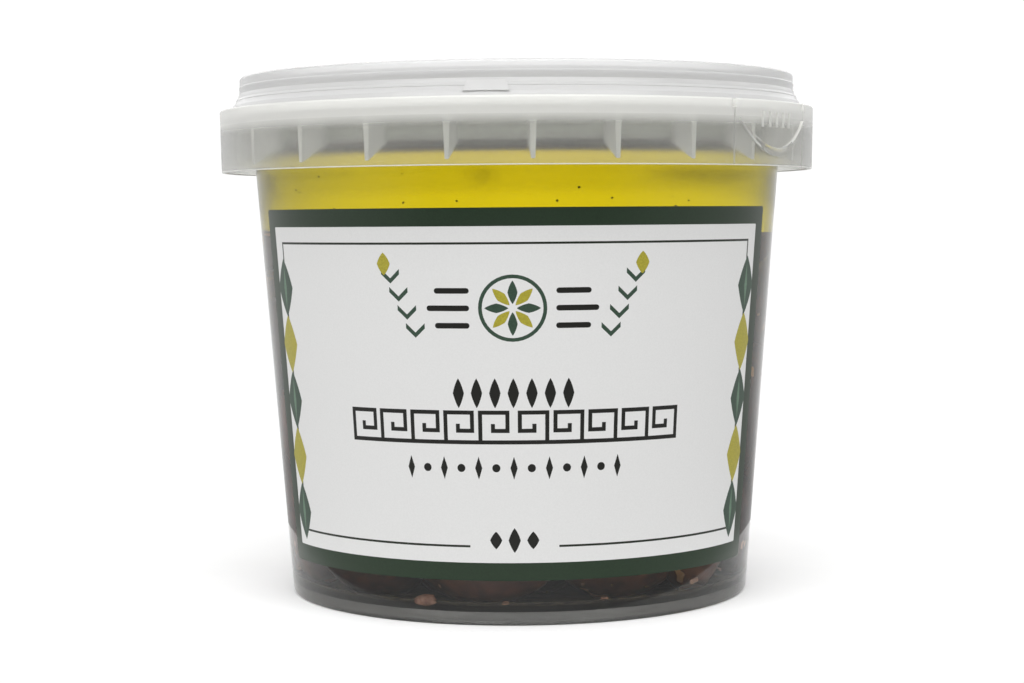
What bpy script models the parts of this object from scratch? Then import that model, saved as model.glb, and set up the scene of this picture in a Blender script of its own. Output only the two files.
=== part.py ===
"""A shut tub of pitted olives in oil.

A clear, draughted tub with a tamper ring round its rim, a frosted snap lid, a wrapped label,
a heap of olives and the layer of oil that stands over it.
Metres, +Z up. The origin is the middle of the foot, and the label faces -Y.
"""

import math

import bmesh
import bpy
import numpy as np
from mathutils import Matrix, Vector

MM = 0.001

# Tub: a cone with its foot on the ground
FOOT_RADIUS = 37.9 * MM
DRAUGHT = 0.0768
WALL = 0.8 * MM
FOOT_EDGE = 0.5 * MM
FLOOR_UNDER = 1.9 * MM
FLOOR_TOP = 2.8 * MM
FLOOR_FILLET = 1.6 * MM
RIM_TOP = 82.9 * MM
RIM_BEAD = 0.55 * MM
RIM_BEAD_HEIGHT = 81.3 * MM

# Tamper ring: a fence on a flange, with gussets under the flange
RING_RADIUS = 49.0 * MM
RING_DRAUGHT = 0.2 * MM
RING_WALL = 0.8 * MM
RING_BOTTOM = 69.2 * MM
RING_TOP = 79.2 * MM
RING_EDGE = 0.3 * MM
FLANGE_UNDER = 76.6 * MM
FLANGE_TOP = 77.5 * MM
GUSSETS = 24
GUSSET_TURN = math.radians(2.7)
GUSSET_WIDTH = 1.1 * MM
GUSSET_TIP_WIDTH = 0.6 * MM
GUSSET_HEEL = 72.8 * MM
GUSSET_TIP = 70.1 * MM
EMBED = 0.35 * MM

# Tear tab in the ring: a slot at each end and a raised smile between them
TAB_TURN = math.radians(54.5)
TAB_HALF = math.radians(12.75)
TAB_SLOT = 0.9 * MM
SMILE_RISE = 0.3 * MM
SMILE_END_HEIGHT = 76.2 * MM
SMILE_LOW = 71.3 * MM
SMILE_WIDTH = 1.3 * MM
SMILE_STEPS = 12
GRIP_BARS = 5
GRIP_PITCH = math.radians(2.4)
GRIP_BAR_WIDTH = 0.7 * MM
GRIP_BAR_TOP = 77.4 * MM
GRIP_BAR_DROP = 2.4 * MM

# Lid: a sunk panel, a raised ring that caps the rim, and a skirt inside the fence
LID_TOP = 84.7 * MM
LID_RADIUS = 45.7 * MM
LID_EDGE = 0.5 * MM
PANEL_TOP = 83.3 * MM
PANEL_RADIUS = 41.8 * MM
LID_WALL = 0.9 * MM
CAP_INNER = 42.3 * MM
CAP_BOTTOM = 81.8 * MM
SKIRT_RADIUS = 47.05 * MM
SKIRT_SHOULDER = 79.4 * MM
SKIRT_FOOT_RADIUS = 47.5 * MM
SKIRT_FOOT = 77.9 * MM
CATCH_RADIUS = 44.6 * MM
CATCH_HEIGHT = 80.1 * MM
PLUG_FOOT = 79.3 * MM
FIT_GAP = 0.35 * MM
LUG_TURN = math.radians(-5.5)
LUG_HALF_FOOT = math.radians(4.15)
LUG_HALF_TOP = math.radians(3.5)
LUG_RISE = 0.4 * MM
LUG_FOOT = 80.0 * MM

# Label: a printed wrap that stands a hair off the wall
LABEL_BOTTOM = 7.0 * MM
LABEL_TOP = 63.1 * MM
LABEL_LEFT = math.radians(-68.0)
LABEL_RIGHT = math.radians(65.6)
LABEL_THICK = 0.14 * MM
LABEL_GAP = 0.26 * MM
LABEL_STEPS = 27

# Contents
OIL_LEVEL = 71.5 * MM
OIL_BOTTOM = 62.2 * MM
SKIN_GAP = 0.3 * MM
OLIVE_LENGTH = 22.6 * MM
OLIVE_WIDTH = 14.6 * MM
OLIVE_COUNT = 80
OLIVE_SIZES = (0.9, 1.08)
OLIVE_SIDES = 8
OLIVE_RINGS = 7
PIT_DEPTH = 3.0 * MM
HEAP_SEED = 11
HEAP_TOP = 60.3 * MM
OLIVE_GAP = 0.5 * MM
POUR_TOP = 95.0 * MM
HEAP_ROUNDS = 520
SINK = 0.3 * MM
EAGER = 1.5
CORE_GAP = 9.8 * MM
CORE_BOTTOM = 6.5 * MM
CORE_TOP = 50.5 * MM

ROUND_SIDES = 56
FULL_TURN = 2.0 * math.pi
MERGE = 0.001 * MM


def clear_scene():
    """Remove whatever the file holds, so that the script can run twice."""
    for obj in list(bpy.data.objects):
        bpy.data.objects.remove(obj, do_unlink=True)


def collection(name):
    """Make a collection under the scene's own."""
    made = bpy.data.collections.new(name)
    bpy.context.scene.collection.children.link(made)
    return made


def material(name, colour, roughness, alpha=1.0):
    """A Principled material with a linear colour."""
    made = bpy.data.materials.new(name)
    made.use_nodes = True
    shader = made.node_tree.nodes["Principled BSDF"]
    shader.inputs["Base Color"].default_value = (*colour, 1.0)
    shader.inputs["Roughness"].default_value = roughness
    shader.inputs["Metallic"].default_value = 0.0
    shader.inputs["Alpha"].default_value = alpha
    made.diffuse_color = (*colour, alpha)
    return made


def wall_radius(height):
    """Outer radius of the tub's cone at a height."""
    return FOOT_RADIUS + DRAUGHT * height


def inner_radius(height):
    """Radius of the tub's inner face at a height."""
    return wall_radius(height) - WALL


def arc(middle, radius, start, end, steps):
    """Points (radius, height) along an arc, given in degrees."""
    points = []
    for step in range(steps + 1):
        angle = math.radians(start + (end - start) * step / steps)
        points.append((middle[0] + radius * math.cos(angle), middle[1] + radius * math.sin(angle)))
    return points


def around(turn, radius, height):
    """A point at an angle from the front, positive towards +X."""
    return Vector((radius * math.sin(turn), -radius * math.cos(turn), height))


def place_object(name, mesh, home, finish):
    """Put a mesh in a collection as a named object with its material."""
    obj = bpy.data.objects.new(name, mesh)
    if finish is not None:
        mesh.materials.append(finish)
    home.objects.link(obj)
    return obj


def turned(name, profile, home, finish, sides=ROUND_SIDES, angle=FULL_TURN):
    """Turn a profile of (radius, height) points round +Z. It runs down its outer side."""
    mesh = bpy.data.meshes.new(name)
    points = [(radius, 0.0, height) for radius, height in profile]
    edges = [(step, step + 1) for step in range(len(points) - 1)]
    mesh.from_pydata(points, edges, [])
    obj = place_object(name, mesh, home, finish)
    screw = obj.modifiers.new("Turn", "SCREW")
    screw.axis = "Z"
    screw.angle = angle
    screw.steps = sides
    screw.render_steps = sides
    screw.use_merge_vertices = True
    screw.merge_threshold = MERGE
    screw.use_smooth_shade = True
    return obj


def join_to(obj, tool, operation):
    """Add a Boolean modifier that joins or cuts with another object."""
    step = obj.modifiers.new(operation.title(), "BOOLEAN")
    step.operation = operation
    step.object = tool
    step.solver = "EXACT"


def helper(name, bm, home):
    """Turn a bmesh into a hidden helper object for a Boolean."""
    bmesh.ops.recalc_face_normals(bm, faces=bm.faces)
    mesh = bpy.data.meshes.new(name)
    bm.to_mesh(mesh)
    bm.free()
    obj = place_object(name, mesh, home, None)
    obj.hide_render = True
    obj.display_type = "WIRE"
    return obj


def shaped_block(bm, corner):
    """A cube whose eight corners go where corner(out, side, up) says, each -1 or 1."""
    made = bmesh.ops.create_cube(bm, size=2.0)
    for vert in made["verts"]:
        signs = [1 if value > 0 else -1 for value in vert.co]
        vert.co = corner(*signs)


def ring_inner(height):
    """Inner radius of the tamper ring at a height."""
    share = (RING_TOP - height) / (RING_TOP - RING_BOTTOM)
    return RING_RADIUS - RING_DRAUGHT * share - RING_WALL


def tub_profile():
    """Floor, inner wall, rim, flange, fence, outer wall and foot, from axis to axis."""
    fillet_middle = (inner_radius(FLOOR_TOP) - FLOOR_FILLET, FLOOR_TOP + FLOOR_FILLET)
    profile = [(0.0, FLOOR_TOP)]
    profile += arc(fillet_middle, FLOOR_FILLET, -90, 0, 3)
    rim_out = wall_radius(RIM_TOP)
    profile += [
        (inner_radius(RIM_TOP), RIM_TOP - 0.2 * MM),
        (inner_radius(RIM_TOP) + 0.2 * MM, RIM_TOP),
        (rim_out - 0.2 * MM, RIM_TOP),
        (rim_out + RIM_BEAD, RIM_BEAD_HEIGHT + 0.2 * MM),
        (rim_out + RIM_BEAD, RIM_BEAD_HEIGHT - 0.2 * MM),
        (wall_radius(RIM_BEAD_HEIGHT), RIM_BEAD_HEIGHT - 0.7 * MM),
        (wall_radius(FLANGE_TOP), FLANGE_TOP),
        (ring_inner(FLANGE_TOP), FLANGE_TOP),
        (ring_inner(RING_TOP), RING_TOP - 0.2 * MM),
        (ring_inner(RING_TOP) + 0.2 * MM, RING_TOP),
    ]
    profile += arc((RING_RADIUS - RING_EDGE, RING_TOP - RING_EDGE), RING_EDGE, 90, 0, 2)
    profile += [
        (RING_RADIUS - RING_DRAUGHT, RING_BOTTOM),
        (ring_inner(RING_BOTTOM), RING_BOTTOM),
        (ring_inner(FLANGE_UNDER), FLANGE_UNDER),
        (wall_radius(FLANGE_UNDER), FLANGE_UNDER),
        (wall_radius(FOOT_EDGE), FOOT_EDGE),
    ]
    profile += arc((FOOT_RADIUS - FOOT_EDGE, FOOT_EDGE), FOOT_EDGE, -30, -90, 2)
    profile += [
        (FOOT_RADIUS - 2.0 * WALL, 0.0),
        (FOOT_RADIUS - 2.6 * WALL, FLOOR_UNDER),
        (0.0, FLOOR_UNDER),
    ]
    return profile


def gussets(home):
    """Plates from the wall to the fence, each narrowing to a tip on the fence."""
    bm = bmesh.new()
    for count in range(GUSSETS):
        turn = GUSSET_TURN + FULL_TURN * count / GUSSETS

        def corner(out, side, up, turn=turn):
            if up > 0:
                height = FLANGE_UNDER + EMBED
            else:
                height = GUSSET_TIP if out > 0 else GUSSET_HEEL
            if out > 0:
                radius = ring_inner(height) + EMBED
            else:
                radius = wall_radius(height) - EMBED
            tip = out > 0 and up < 0
            half = (GUSSET_TIP_WIDTH if tip else GUSSET_WIDTH) / 2.0
            return around(turn + side * half / radius, radius, height)

        shaped_block(bm, corner)
    return helper("gusset_blocks", bm, home)


def tab_slots(home):
    """Cutters for the slot at each end of the tear tab, down to the flange."""
    bm = bmesh.new()
    for end in (-1, 1):
        turn = TAB_TURN + end * TAB_HALF

        def corner(out, side, up, turn=turn):
            height = RING_TOP + EMBED if up > 0 else FLANGE_TOP + EMBED
            radius = RING_RADIUS + EMBED if out > 0 else ring_inner(RING_TOP) - EMBED
            return around(turn + side * TAB_SLOT / 2.0 / radius, radius, height)

        shaped_block(bm, corner)
    return helper("tab_slot_blocks", bm, home)


def smile_height(share):
    """Middle line of the smile: low at its middle, high at both ends, with share from -1 to 1."""
    return SMILE_LOW + (SMILE_END_HEIGHT - SMILE_LOW) * share * share


def smile(home):
    """The raised smile on the tear tab: a bent bar that thins towards its ends."""
    bm = bmesh.new()
    outer = RING_RADIUS + SMILE_RISE
    inner = RING_RADIUS - RING_WALL / 2.0
    rows = []
    for step in range(SMILE_STEPS + 1):
        share = 2.0 * step / SMILE_STEPS - 1.0
        turn = TAB_TURN + share * (TAB_HALF - 0.02)
        half = SMILE_WIDTH / 2.0 * (1.0 - 0.7 * share * share)
        middle = smile_height(share)
        corners = ((inner, -half), (outer, -half), (outer, half), (inner, half))
        rows.append([bm.verts.new(around(turn, radius, middle + rise)) for radius, rise in corners])
    for left, right in zip(rows, rows[1:]):
        for side in range(4):
            after = (side + 1) % 4
            bm.faces.new((left[side], left[after], right[after], right[side]))
    bm.faces.new(rows[0])
    bm.faces.new(reversed(rows[-1]))
    return helper("smile_bar", bm, home)


def grip_bars(home):
    """Short upright bars over the smile, for the thumb."""
    bm = bmesh.new()
    for count in range(GRIP_BARS):
        place = count - (GRIP_BARS - 1) / 2.0
        turn = TAB_TURN + place * GRIP_PITCH

        def corner(out, side, up, turn=turn):
            height = GRIP_BAR_TOP if up > 0 else GRIP_BAR_TOP - GRIP_BAR_DROP
            radius = RING_RADIUS + (SMILE_RISE if out > 0 else -RING_WALL / 2.0)
            return around(turn + side * GRIP_BAR_WIDTH / 2.0 / radius, radius, height)

        shaped_block(bm, corner)
    return helper("grip_bar_blocks", bm, home)


def make_tub(home, tools, finish):
    """The clear tub with its tamper ring."""
    tub = turned("tub", tub_profile(), home, finish)
    join_to(tub, gussets(tools), "UNION")
    join_to(tub, tab_slots(tools), "DIFFERENCE")
    join_to(tub, smile(tools), "UNION")
    join_to(tub, grip_bars(tools), "UNION")


def lid_profile():
    """Panel, raised cap and skirt on the outside, then back along the inside."""
    plug_out = inner_radius(RIM_TOP) - FIT_GAP
    plug_foot_out = inner_radius(PLUG_FOOT) - FIT_GAP
    cap_in = wall_radius(RIM_TOP) + RIM_BEAD + FIT_GAP
    cap_under = RIM_TOP + 2.0 * FIT_GAP
    profile = [
        (0.0, PANEL_TOP),
        (PANEL_RADIUS, PANEL_TOP),
        (CAP_INNER - 0.2 * MM, LID_TOP - 0.2 * MM),
        (CAP_INNER, LID_TOP),
    ]
    profile += arc((LID_RADIUS - LID_EDGE, LID_TOP - LID_EDGE), LID_EDGE, 90, 0, 3)
    profile += [
        (LID_RADIUS + 0.1 * MM, CAP_BOTTOM),
        (SKIRT_RADIUS, SKIRT_SHOULDER),
        (SKIRT_FOOT_RADIUS, SKIRT_FOOT),
        (SKIRT_FOOT_RADIUS - LID_WALL, SKIRT_FOOT),
        (SKIRT_RADIUS - LID_WALL, SKIRT_SHOULDER),
        (CATCH_RADIUS, CATCH_HEIGHT),
        (cap_in, CATCH_HEIGHT + 0.6 * MM),
        (cap_in - 0.1 * MM, cap_under),
        (plug_out, cap_under),
        (plug_foot_out, PLUG_FOOT),
        (plug_foot_out - LID_WALL, PLUG_FOOT),
        (PANEL_RADIUS - 0.2 * MM, PANEL_TOP - LID_WALL),
        (0.0, PANEL_TOP - LID_WALL),
    ]
    return profile


def lug(home):
    """The low lug on the lid's slope that shows where to lift it."""
    bm = bmesh.new()

    def corner(out, side, up):
        if up > 0:
            radius, height, half = LID_RADIUS, CAP_BOTTOM - 0.2 * MM, LUG_HALF_TOP
        else:
            radius, height, half = SKIRT_RADIUS - 0.3 * MM, LUG_FOOT, LUG_HALF_FOOT
        reach = LUG_RISE if out > 0 else -LID_WALL / 2.0
        return around(LUG_TURN + side * half, radius + reach, height)

    shaped_block(bm, corner)
    return helper("lug_block", bm, home)


def make_lid(home, tools, finish):
    """The frosted snap lid."""
    lid = turned("lid", lid_profile(), home, finish)
    join_to(lid, lug(tools), "UNION")


def make_label(home, finish):
    """The wrap label: an open strip of the cone, thickened outwards."""
    inset = LABEL_GAP
    profile = [
        (wall_radius(LABEL_TOP) + inset, LABEL_TOP),
        (wall_radius(LABEL_BOTTOM) + inset, LABEL_BOTTOM),
    ]
    sweep = LABEL_RIGHT - LABEL_LEFT
    label = turned("label", profile, home, finish, sides=LABEL_STEPS, angle=sweep)
    label.rotation_euler.z = LABEL_LEFT - math.pi / 2.0
    skin = label.modifiers.new("Thickness", "SOLIDIFY")
    skin.thickness = LABEL_THICK
    skin.offset = 1.0


def make_oil(home, finish):
    """The clear layer of oil over the olives, up to its level."""
    profile = [
        (0.0, OIL_LEVEL),
        (inner_radius(OIL_LEVEL) - SKIN_GAP, OIL_LEVEL),
        (inner_radius(OIL_BOTTOM) - SKIN_GAP, OIL_BOTTOM),
        (0.0, OIL_BOTTOM),
    ]
    turned("oil", profile, home, finish)


def settle(seed, rounds):
    """Let olives sink into the tub and push each other apart. Gives middles, axes and sizes.

    Each olive is a row of five balls that keeps its shape while its balls are pushed.
    """
    draw = np.random.default_rng(seed)
    count = OLIVE_COUNT
    size = draw.uniform(*OLIVE_SIZES, count)
    half = OLIVE_LENGTH / 2.0
    thick = OLIVE_WIDTH / 2.0
    spots = np.array([-0.56, -0.3, 0.0, 0.3, 0.56]) * half
    balls = np.array([0.66, 0.92, 1.0, 0.92, 0.66]) * thick
    turn = draw.uniform(0.0, FULL_TURN, count)
    away = np.sqrt(draw.uniform(0.0, 1.0, count)) * 26.0 * MM
    start = np.linspace(10.0 * MM, POUR_TOP, count)
    middle = np.stack([away * np.cos(turn), away * np.sin(turn), start], axis=1)
    axis = draw.normal(size=(count, 3))
    axis /= np.linalg.norm(axis, axis=1, keepdims=True)
    offset = spots[None, :] * size[:, None]
    radius = (balls[None, :] * size[:, None]).ravel()
    owner = np.repeat(np.arange(count), len(spots))
    reach = radius[:, None] + radius[None, :]
    other = owner[:, None] != owner[None, :]
    for step in range(rounds):
        cooling = max(0.0, 1.0 - step / (0.75 * rounds))
        middle[:, 2] -= SINK * cooling
        point = (middle[:, None, :] + offset[:, :, None] * axis[:, None, :]).reshape(-1, 3)
        gap = point[:, None, :] - point[None, :, :]
        far = np.sqrt((gap ** 2).sum(axis=2)) + 1e-9
        deep = np.where(other, np.clip(reach - far, 0.0, None), 0.0)
        push = (gap * (deep / far)[:, :, None]).sum(axis=1) * 0.5
        hits = (deep > 0.0).sum(axis=1).astype(float)
        out = np.hypot(point[:, 0], point[:, 1]) + 1e-9
        over = np.clip(out + radius - inner_radius(point[:, 2]) + SKIN_GAP, 0.0, None)
        push[:, :2] -= (over / out)[:, None] * point[:, :2]
        low = np.clip(FLOOR_TOP + SKIN_GAP + radius - point[:, 2], 0.0, None)
        press = HEAP_TOP + (POUR_TOP - HEAP_TOP) * cooling
        high = np.clip(point[:, 2] + radius - press, 0.0, None)
        push[:, 2] += low - high
        hits += (over > 0.0).astype(float) + (low > 0.0) + (high > 0.0)
        push /= np.maximum(hits, 1.0)[:, None]
        push = push.reshape(count, len(spots), 3)
        met = (hits > 0.0).astype(float).reshape(count, len(spots), 1)
        shift = push.sum(axis=1) / np.maximum(met.sum(axis=1), 1.0)
        arm = offset[:, :, None]
        spin = ((push - shift[:, None, :] * met) * arm).sum(axis=1)
        spin /= (met * arm ** 2).sum(axis=1) + 1e-6
        middle += EAGER * shift
        axis += EAGER * spin
        axis /= np.linalg.norm(axis, axis=1, keepdims=True)
    point = middle[:, None, :] + offset[:, :, None] * axis[:, None, :]
    ball = radius.reshape(count, len(spots))
    out = np.hypot(point[:, :, 0], point[:, :, 1])
    over = out + ball - inner_radius(point[:, :, 2]) + OLIVE_GAP
    over = np.clip(over.max(axis=1), 0.0, None) / np.hypot(middle[:, 0], middle[:, 1])
    middle[:, :2] -= over[:, None] * middle[:, :2]
    low = FLOOR_TOP + OLIVE_GAP + ball - point[:, :, 2]
    middle[:, 2] += np.clip(low.max(axis=1), 0.0, None)
    return np.round(middle, 5), np.round(axis, 3), np.round(size, 3)


def olive_shape(share):
    """Radius of an olive, as a share of its half width, from -1 at its stalk end to 1."""
    blunt = 1.0 + 0.05 * share
    return blunt * (1.0 - abs(share) ** 2.1) ** 0.62


def olive(bm, middle, axis, size):
    """One pitted olive: an almond with a pit hole pressed into its stalk end."""
    made = bmesh.ops.create_uvsphere(bm, u_segments=OLIVE_SIDES, v_segments=OLIVE_RINGS, radius=1.0)
    aim = Vector(axis).normalized().to_track_quat("Z", "Y").to_matrix()
    for vert in made["verts"]:
        along = vert.co.z
        flat = math.hypot(vert.co.x, vert.co.y)
        if flat < 1e-6:
            vert.co = Vector((0.0, 0.0, along * OLIVE_LENGTH / 2.0))
            if along < 0.0:
                vert.co.z += PIT_DEPTH
        else:
            swell = olive_shape(along) * OLIVE_WIDTH / 2.0 / flat
            vert.co.x *= swell
            vert.co.y *= swell
            vert.co.z *= OLIVE_LENGTH / 2.0
        vert.co = Vector(middle) + aim @ (vert.co * size)


def applied(obj, name, home, finish):
    """Replace an object by its evaluated mesh."""
    graph = bpy.context.evaluated_depsgraph_get()
    mesh = bpy.data.meshes.new_from_object(obj.evaluated_get(graph))
    bpy.data.objects.remove(obj, do_unlink=True)
    mesh.name = name
    mesh.materials.clear()
    return place_object(name, mesh, home, finish)


def signed_volume(faces):
    """Volume inside a set of triangles, negative where they face inwards."""
    total = 0.0
    for face in faces:
        first, second, third = [vert.co for vert in face.verts]
        total += first.dot(second.cross(third)) / 6.0
    return total


def keep_outside(obj):
    """Fill sealed hollows and drop loose scraps, so that only the largest shell stays."""
    bm = bmesh.new()
    bm.from_mesh(obj.data)
    bmesh.ops.triangulate(bm, faces=bm.faces)
    bmesh.ops.remove_doubles(bm, verts=bm.verts, dist=MERGE)
    left = set(bm.faces)
    shells = []
    while left:
        first = left.pop()
        shell = [first]
        queue = [first]
        while queue:
            face = queue.pop()
            for edge in face.edges:
                for near in edge.link_faces:
                    if near in left:
                        left.remove(near)
                        shell.append(near)
                        queue.append(near)
        shells.append(shell)
    shells.sort(key=signed_volume)
    spare = [face for shell in shells[:-1] for face in shell]
    bmesh.ops.delete(bm, geom=spare, context="FACES")
    loose = [vert for vert in bm.verts if not vert.link_faces]
    bmesh.ops.delete(bm, geom=loose, context="VERTS")
    bm.to_mesh(obj.data)
    bm.free()


def make_olives(home, finish):
    """The heap: a plain core with every olive fused to it."""
    pieces = collection("olive_pieces")
    core_profile = [
        (0.0, CORE_TOP),
        (inner_radius(CORE_TOP) - CORE_GAP, CORE_TOP),
        (inner_radius(CORE_BOTTOM) - CORE_GAP, CORE_BOTTOM),
        (0.0, CORE_BOTTOM),
    ]
    core = turned("olive_core", core_profile, home, None, sides=24)
    for place in zip(*settle(HEAP_SEED, HEAP_ROUNDS)):
        bm = bmesh.new()
        olive(bm, *place)
        mesh = bpy.data.meshes.new("olive_piece")
        bm.to_mesh(mesh)
        bm.free()
        place_object("olive_piece", mesh, pieces, None)
    join = core.modifiers.new("Join", "BOOLEAN")
    join.operation = "UNION"
    join.operand_type = "COLLECTION"
    join.collection = pieces
    join.solver = "EXACT"
    heap = applied(core, "olives", home, finish)
    for piece in list(pieces.objects):
        bpy.data.objects.remove(piece, do_unlink=True)
    bpy.data.collections.remove(pieces)
    keep_outside(heap)


def main():
    """Build the tub, its lid, its label and its contents."""
    clear_scene()
    home = collection("tub_of_olives")
    tools = collection("tools")
    clear_plastic = material("clear_polypropylene", (0.86, 0.87, 0.82), 0.18, 0.45)
    frosted_plastic = material("frosted_polypropylene", (0.82, 0.83, 0.82), 0.5)
    print_film = material("printed_film", (0.62, 0.63, 0.58), 0.35)
    olive_skin = material("black_olive_skin", (0.055, 0.035, 0.032), 0.3)
    olive_oil = material("olive_oil", (0.47, 0.37, 0.01), 0.05, 0.7)
    make_tub(home, tools, clear_plastic)
    make_lid(home, tools, frosted_plastic)
    make_label(home, print_film)
    make_olives(home, olive_skin)
    make_oil(home, olive_oil)


main()
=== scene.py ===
import math
from functools import partial

import bmesh
import bpy
import numpy as np
from bpy.props import FloatProperty, FloatVectorProperty, IntProperty, PointerProperty
from mathutils import Matrix, Vector, noise
from mathutils.geometry import delaunay_2d_cdt


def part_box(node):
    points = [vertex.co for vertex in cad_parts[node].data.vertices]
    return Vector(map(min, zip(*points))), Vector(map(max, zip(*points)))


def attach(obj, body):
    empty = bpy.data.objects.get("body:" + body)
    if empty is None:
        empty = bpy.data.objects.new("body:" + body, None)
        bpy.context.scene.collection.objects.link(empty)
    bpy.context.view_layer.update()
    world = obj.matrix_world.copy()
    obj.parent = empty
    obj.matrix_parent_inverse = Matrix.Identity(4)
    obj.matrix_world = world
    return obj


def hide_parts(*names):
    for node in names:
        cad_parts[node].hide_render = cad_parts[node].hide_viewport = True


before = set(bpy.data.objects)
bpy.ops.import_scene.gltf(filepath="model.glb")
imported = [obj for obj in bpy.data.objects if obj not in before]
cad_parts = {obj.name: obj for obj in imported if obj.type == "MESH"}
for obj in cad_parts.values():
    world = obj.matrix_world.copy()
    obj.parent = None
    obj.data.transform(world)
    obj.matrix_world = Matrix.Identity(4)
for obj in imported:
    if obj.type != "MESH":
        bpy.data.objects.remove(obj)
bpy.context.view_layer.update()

bl_info = {
    "name": "Tub of Olives in Oil",
    "version": (1, 0, 0),
    "blender": (4, 5, 0),
    "location": "View3D > Sidebar > Olive Tub",
    "description": "Builds a shut snap-lid tub of pitted olives in oil round its CAD frame",
    "category": "Add Mesh",
}

MM = 0.001
FULL_TURN = 2.0 * math.pi

# Heights and radii that the frame gives
RING_RADIUS, _, RIM_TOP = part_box("tub")[1]
SKIRT_FOOT_RADIUS, _, LID_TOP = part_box("lid")[1]
SKIRT_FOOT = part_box("lid")[0].z
OIL_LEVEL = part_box("oil")[1].z
LABEL_BOTTOM, LABEL_TOP = [corner.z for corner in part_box("label")]

# Tub
FOOT_RADIUS = 37.9 * MM
DRAUGHT = 0.0768
WALL = 0.8 * MM
FOOT_EDGE = 0.5 * MM
FLOOR_UNDER = 1.9 * MM
FLOOR_TOP = 2.8 * MM
FLOOR_FILLET = 1.6 * MM
RIM_BEAD = 0.55 * MM
RIM_BEAD_HEIGHT = 81.3 * MM
RING_DRAUGHT = 0.2 * MM
RING_WALL = 0.8 * MM
RING_BOTTOM = 69.2 * MM
RING_TOP = 79.2 * MM
RING_EDGE = 0.3 * MM
FLANGE_UNDER = 76.6 * MM
FLANGE_TOP = 77.5 * MM
GUSSETS = 24
GUSSET_TURN = math.radians(2.7)
GUSSET_WIDTH = 1.1 * MM
GUSSET_TIP_WIDTH = 0.6 * MM
GUSSET_HEEL = 72.8 * MM
GUSSET_TIP = 70.1 * MM
GUSSET_GAP = 0.1 * MM
EMBED = 0.35 * MM
TAB_TURN = math.radians(54.5)
TAB_HALF = math.radians(12.75)
TAB_SLOT = 0.9 * MM
GROOVE_WIDTH = 0.22 * MM
GROOVE_DEPTH = 0.15 * MM
SMILE_RISE = 0.3 * MM
SMILE_END_HEIGHT = 76.2 * MM
SMILE_LOW = 71.3 * MM
SMILE_WIDTH = 1.3 * MM
GRIP_BARS = 5
GRIP_PITCH = math.radians(2.4)
GRIP_BAR_WIDTH = 0.7 * MM
GRIP_BAR_TOP = 77.4 * MM
GRIP_BAR_DROP = 2.4 * MM

# Places of the tub's finishes in its list of materials
CLEAR, FROSTED, WETTED, THICK, SMEARED_SHADED, UNDERSIDE, PLATE, BACKED = range(8)

# Oil
OIL_BITE = 0.2 * MM
OIL_CLIMB = 1.6 * MM
OIL_REACH = 3.0 * MM
WET_TOP = OIL_LEVEL + OIL_CLIMB

# Crumbs and chips, in millimetres. A chip is (degrees from the front, height, half its length).
CRUMB_SEED = 21
CRUMB_LAYER = (61.5, 70.0)
CRUMB_BED = (0.6, 3.2)
CRUMB_SPREAD = (0.3, 2.5)
CRUMB_SIZE = (0.12, 0.3)
CHIPS = (
    (-22.6, 3.5, 1.9), (46.5, 4.7, 1.1), (-3.5, 3.4, 0.6),
    (20.0, 3.6, 0.7), (150.0, 4.0, 1.5), (215.0, 3.8, 1.1),
)

# Lid
LID_RADIUS = 45.7 * MM
LID_EDGE = 0.5 * MM
PANEL_TOP = 83.3 * MM
PANEL_RADIUS = 41.8 * MM
LID_WALL = 0.9 * MM
CAP_INNER = 42.3 * MM
CAP_BOTTOM = 81.8 * MM
SKIRT_RADIUS = 47.05 * MM
SKIRT_SHOULDER = 79.4 * MM
CATCH_RADIUS = 44.6 * MM
CATCH_HEIGHT = 80.1 * MM
PLUG_FOOT = 79.3 * MM
FIT_GAP = 0.35 * MM
LUG_TURN = math.radians(-5.5)
LUG_HALF_FOOT = math.radians(4.15)
LUG_HALF_TOP = math.radians(3.5)
LUG_RISE = 0.4 * MM
LUG_FOOT = 80.0 * MM

# Label
LABEL_LEFT = math.radians(-68.0)
LABEL_RIGHT = math.radians(65.6)
LABEL_MIDDLE = (LABEL_LEFT + LABEL_RIGHT) / 2.0
LABEL_THICK = 0.12 * MM
LABEL_GAP = 0.03 * MM
LABEL_COLUMNS = 88
# The radius at which the print is laid out flat, in millimetres across and up
PRINT_RADIUS = 40.6 * MM

# Studio
FLOOR_RADIUS = 0.068
FLOOR_SHIFT = 0.025
BRIGHTEST = 2.4
# Strength round the horizon, by share of a half turn from the camera's side
ROUND_THE_ROOM = (
    (0.0, 0.16), (0.2, 0.16), (0.35, 0.6), (0.5, 0.75),
    (0.63, 0.76), (0.76, 0.76), (0.88, 0.84), (1.0, 0.95),
)
# Brighter overhead, dimmer under the horizon, the white table below, and a darker right wall.
# Each is (axis of the direction, from, to, value at from, value at to, how it joins).
ROOM_FADES = (
    ("Z", 0.12, 0.25, BRIGHTEST, 1.6 * BRIGHTEST, "MULTIPLY"),
    ("Z", -0.16, -0.09, 0.6, 1.0, "MULTIPLY"),
    ("Z", -0.34, -0.18, 0.8, 0.0, "MAXIMUM"),
    ("X", 0.3, 0.7, 1.0, 0.85, "MULTIPLY"),
)
SEEN_BACKDROP = 1.05
LENS_MM = 73.95
CAMERA_SIDE = -1.0 * MM
CAMERA_DOWN = math.radians(3.339)
CAMERA_ROLL = math.radians(-0.44)

# Olives, placed by the same rule as the solids they replace
OLIVE_LENGTH = 22.6 * MM
OLIVE_WIDTH = 14.6 * MM
OLIVE_COUNT = 80
OLIVE_SIZES = (0.9, 1.08)
HEAP_SEED = 11
SHAPE_SEED = 5
HEAP_ROUNDS = 520
HEAP_TOP = 60.3 * MM
POUR_TOP = 95.0 * MM
SINK = 0.3 * MM
EAGER = 1.5
SKIN_GAP = 0.3 * MM
OLIVE_GAP = 0.5 * MM


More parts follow.
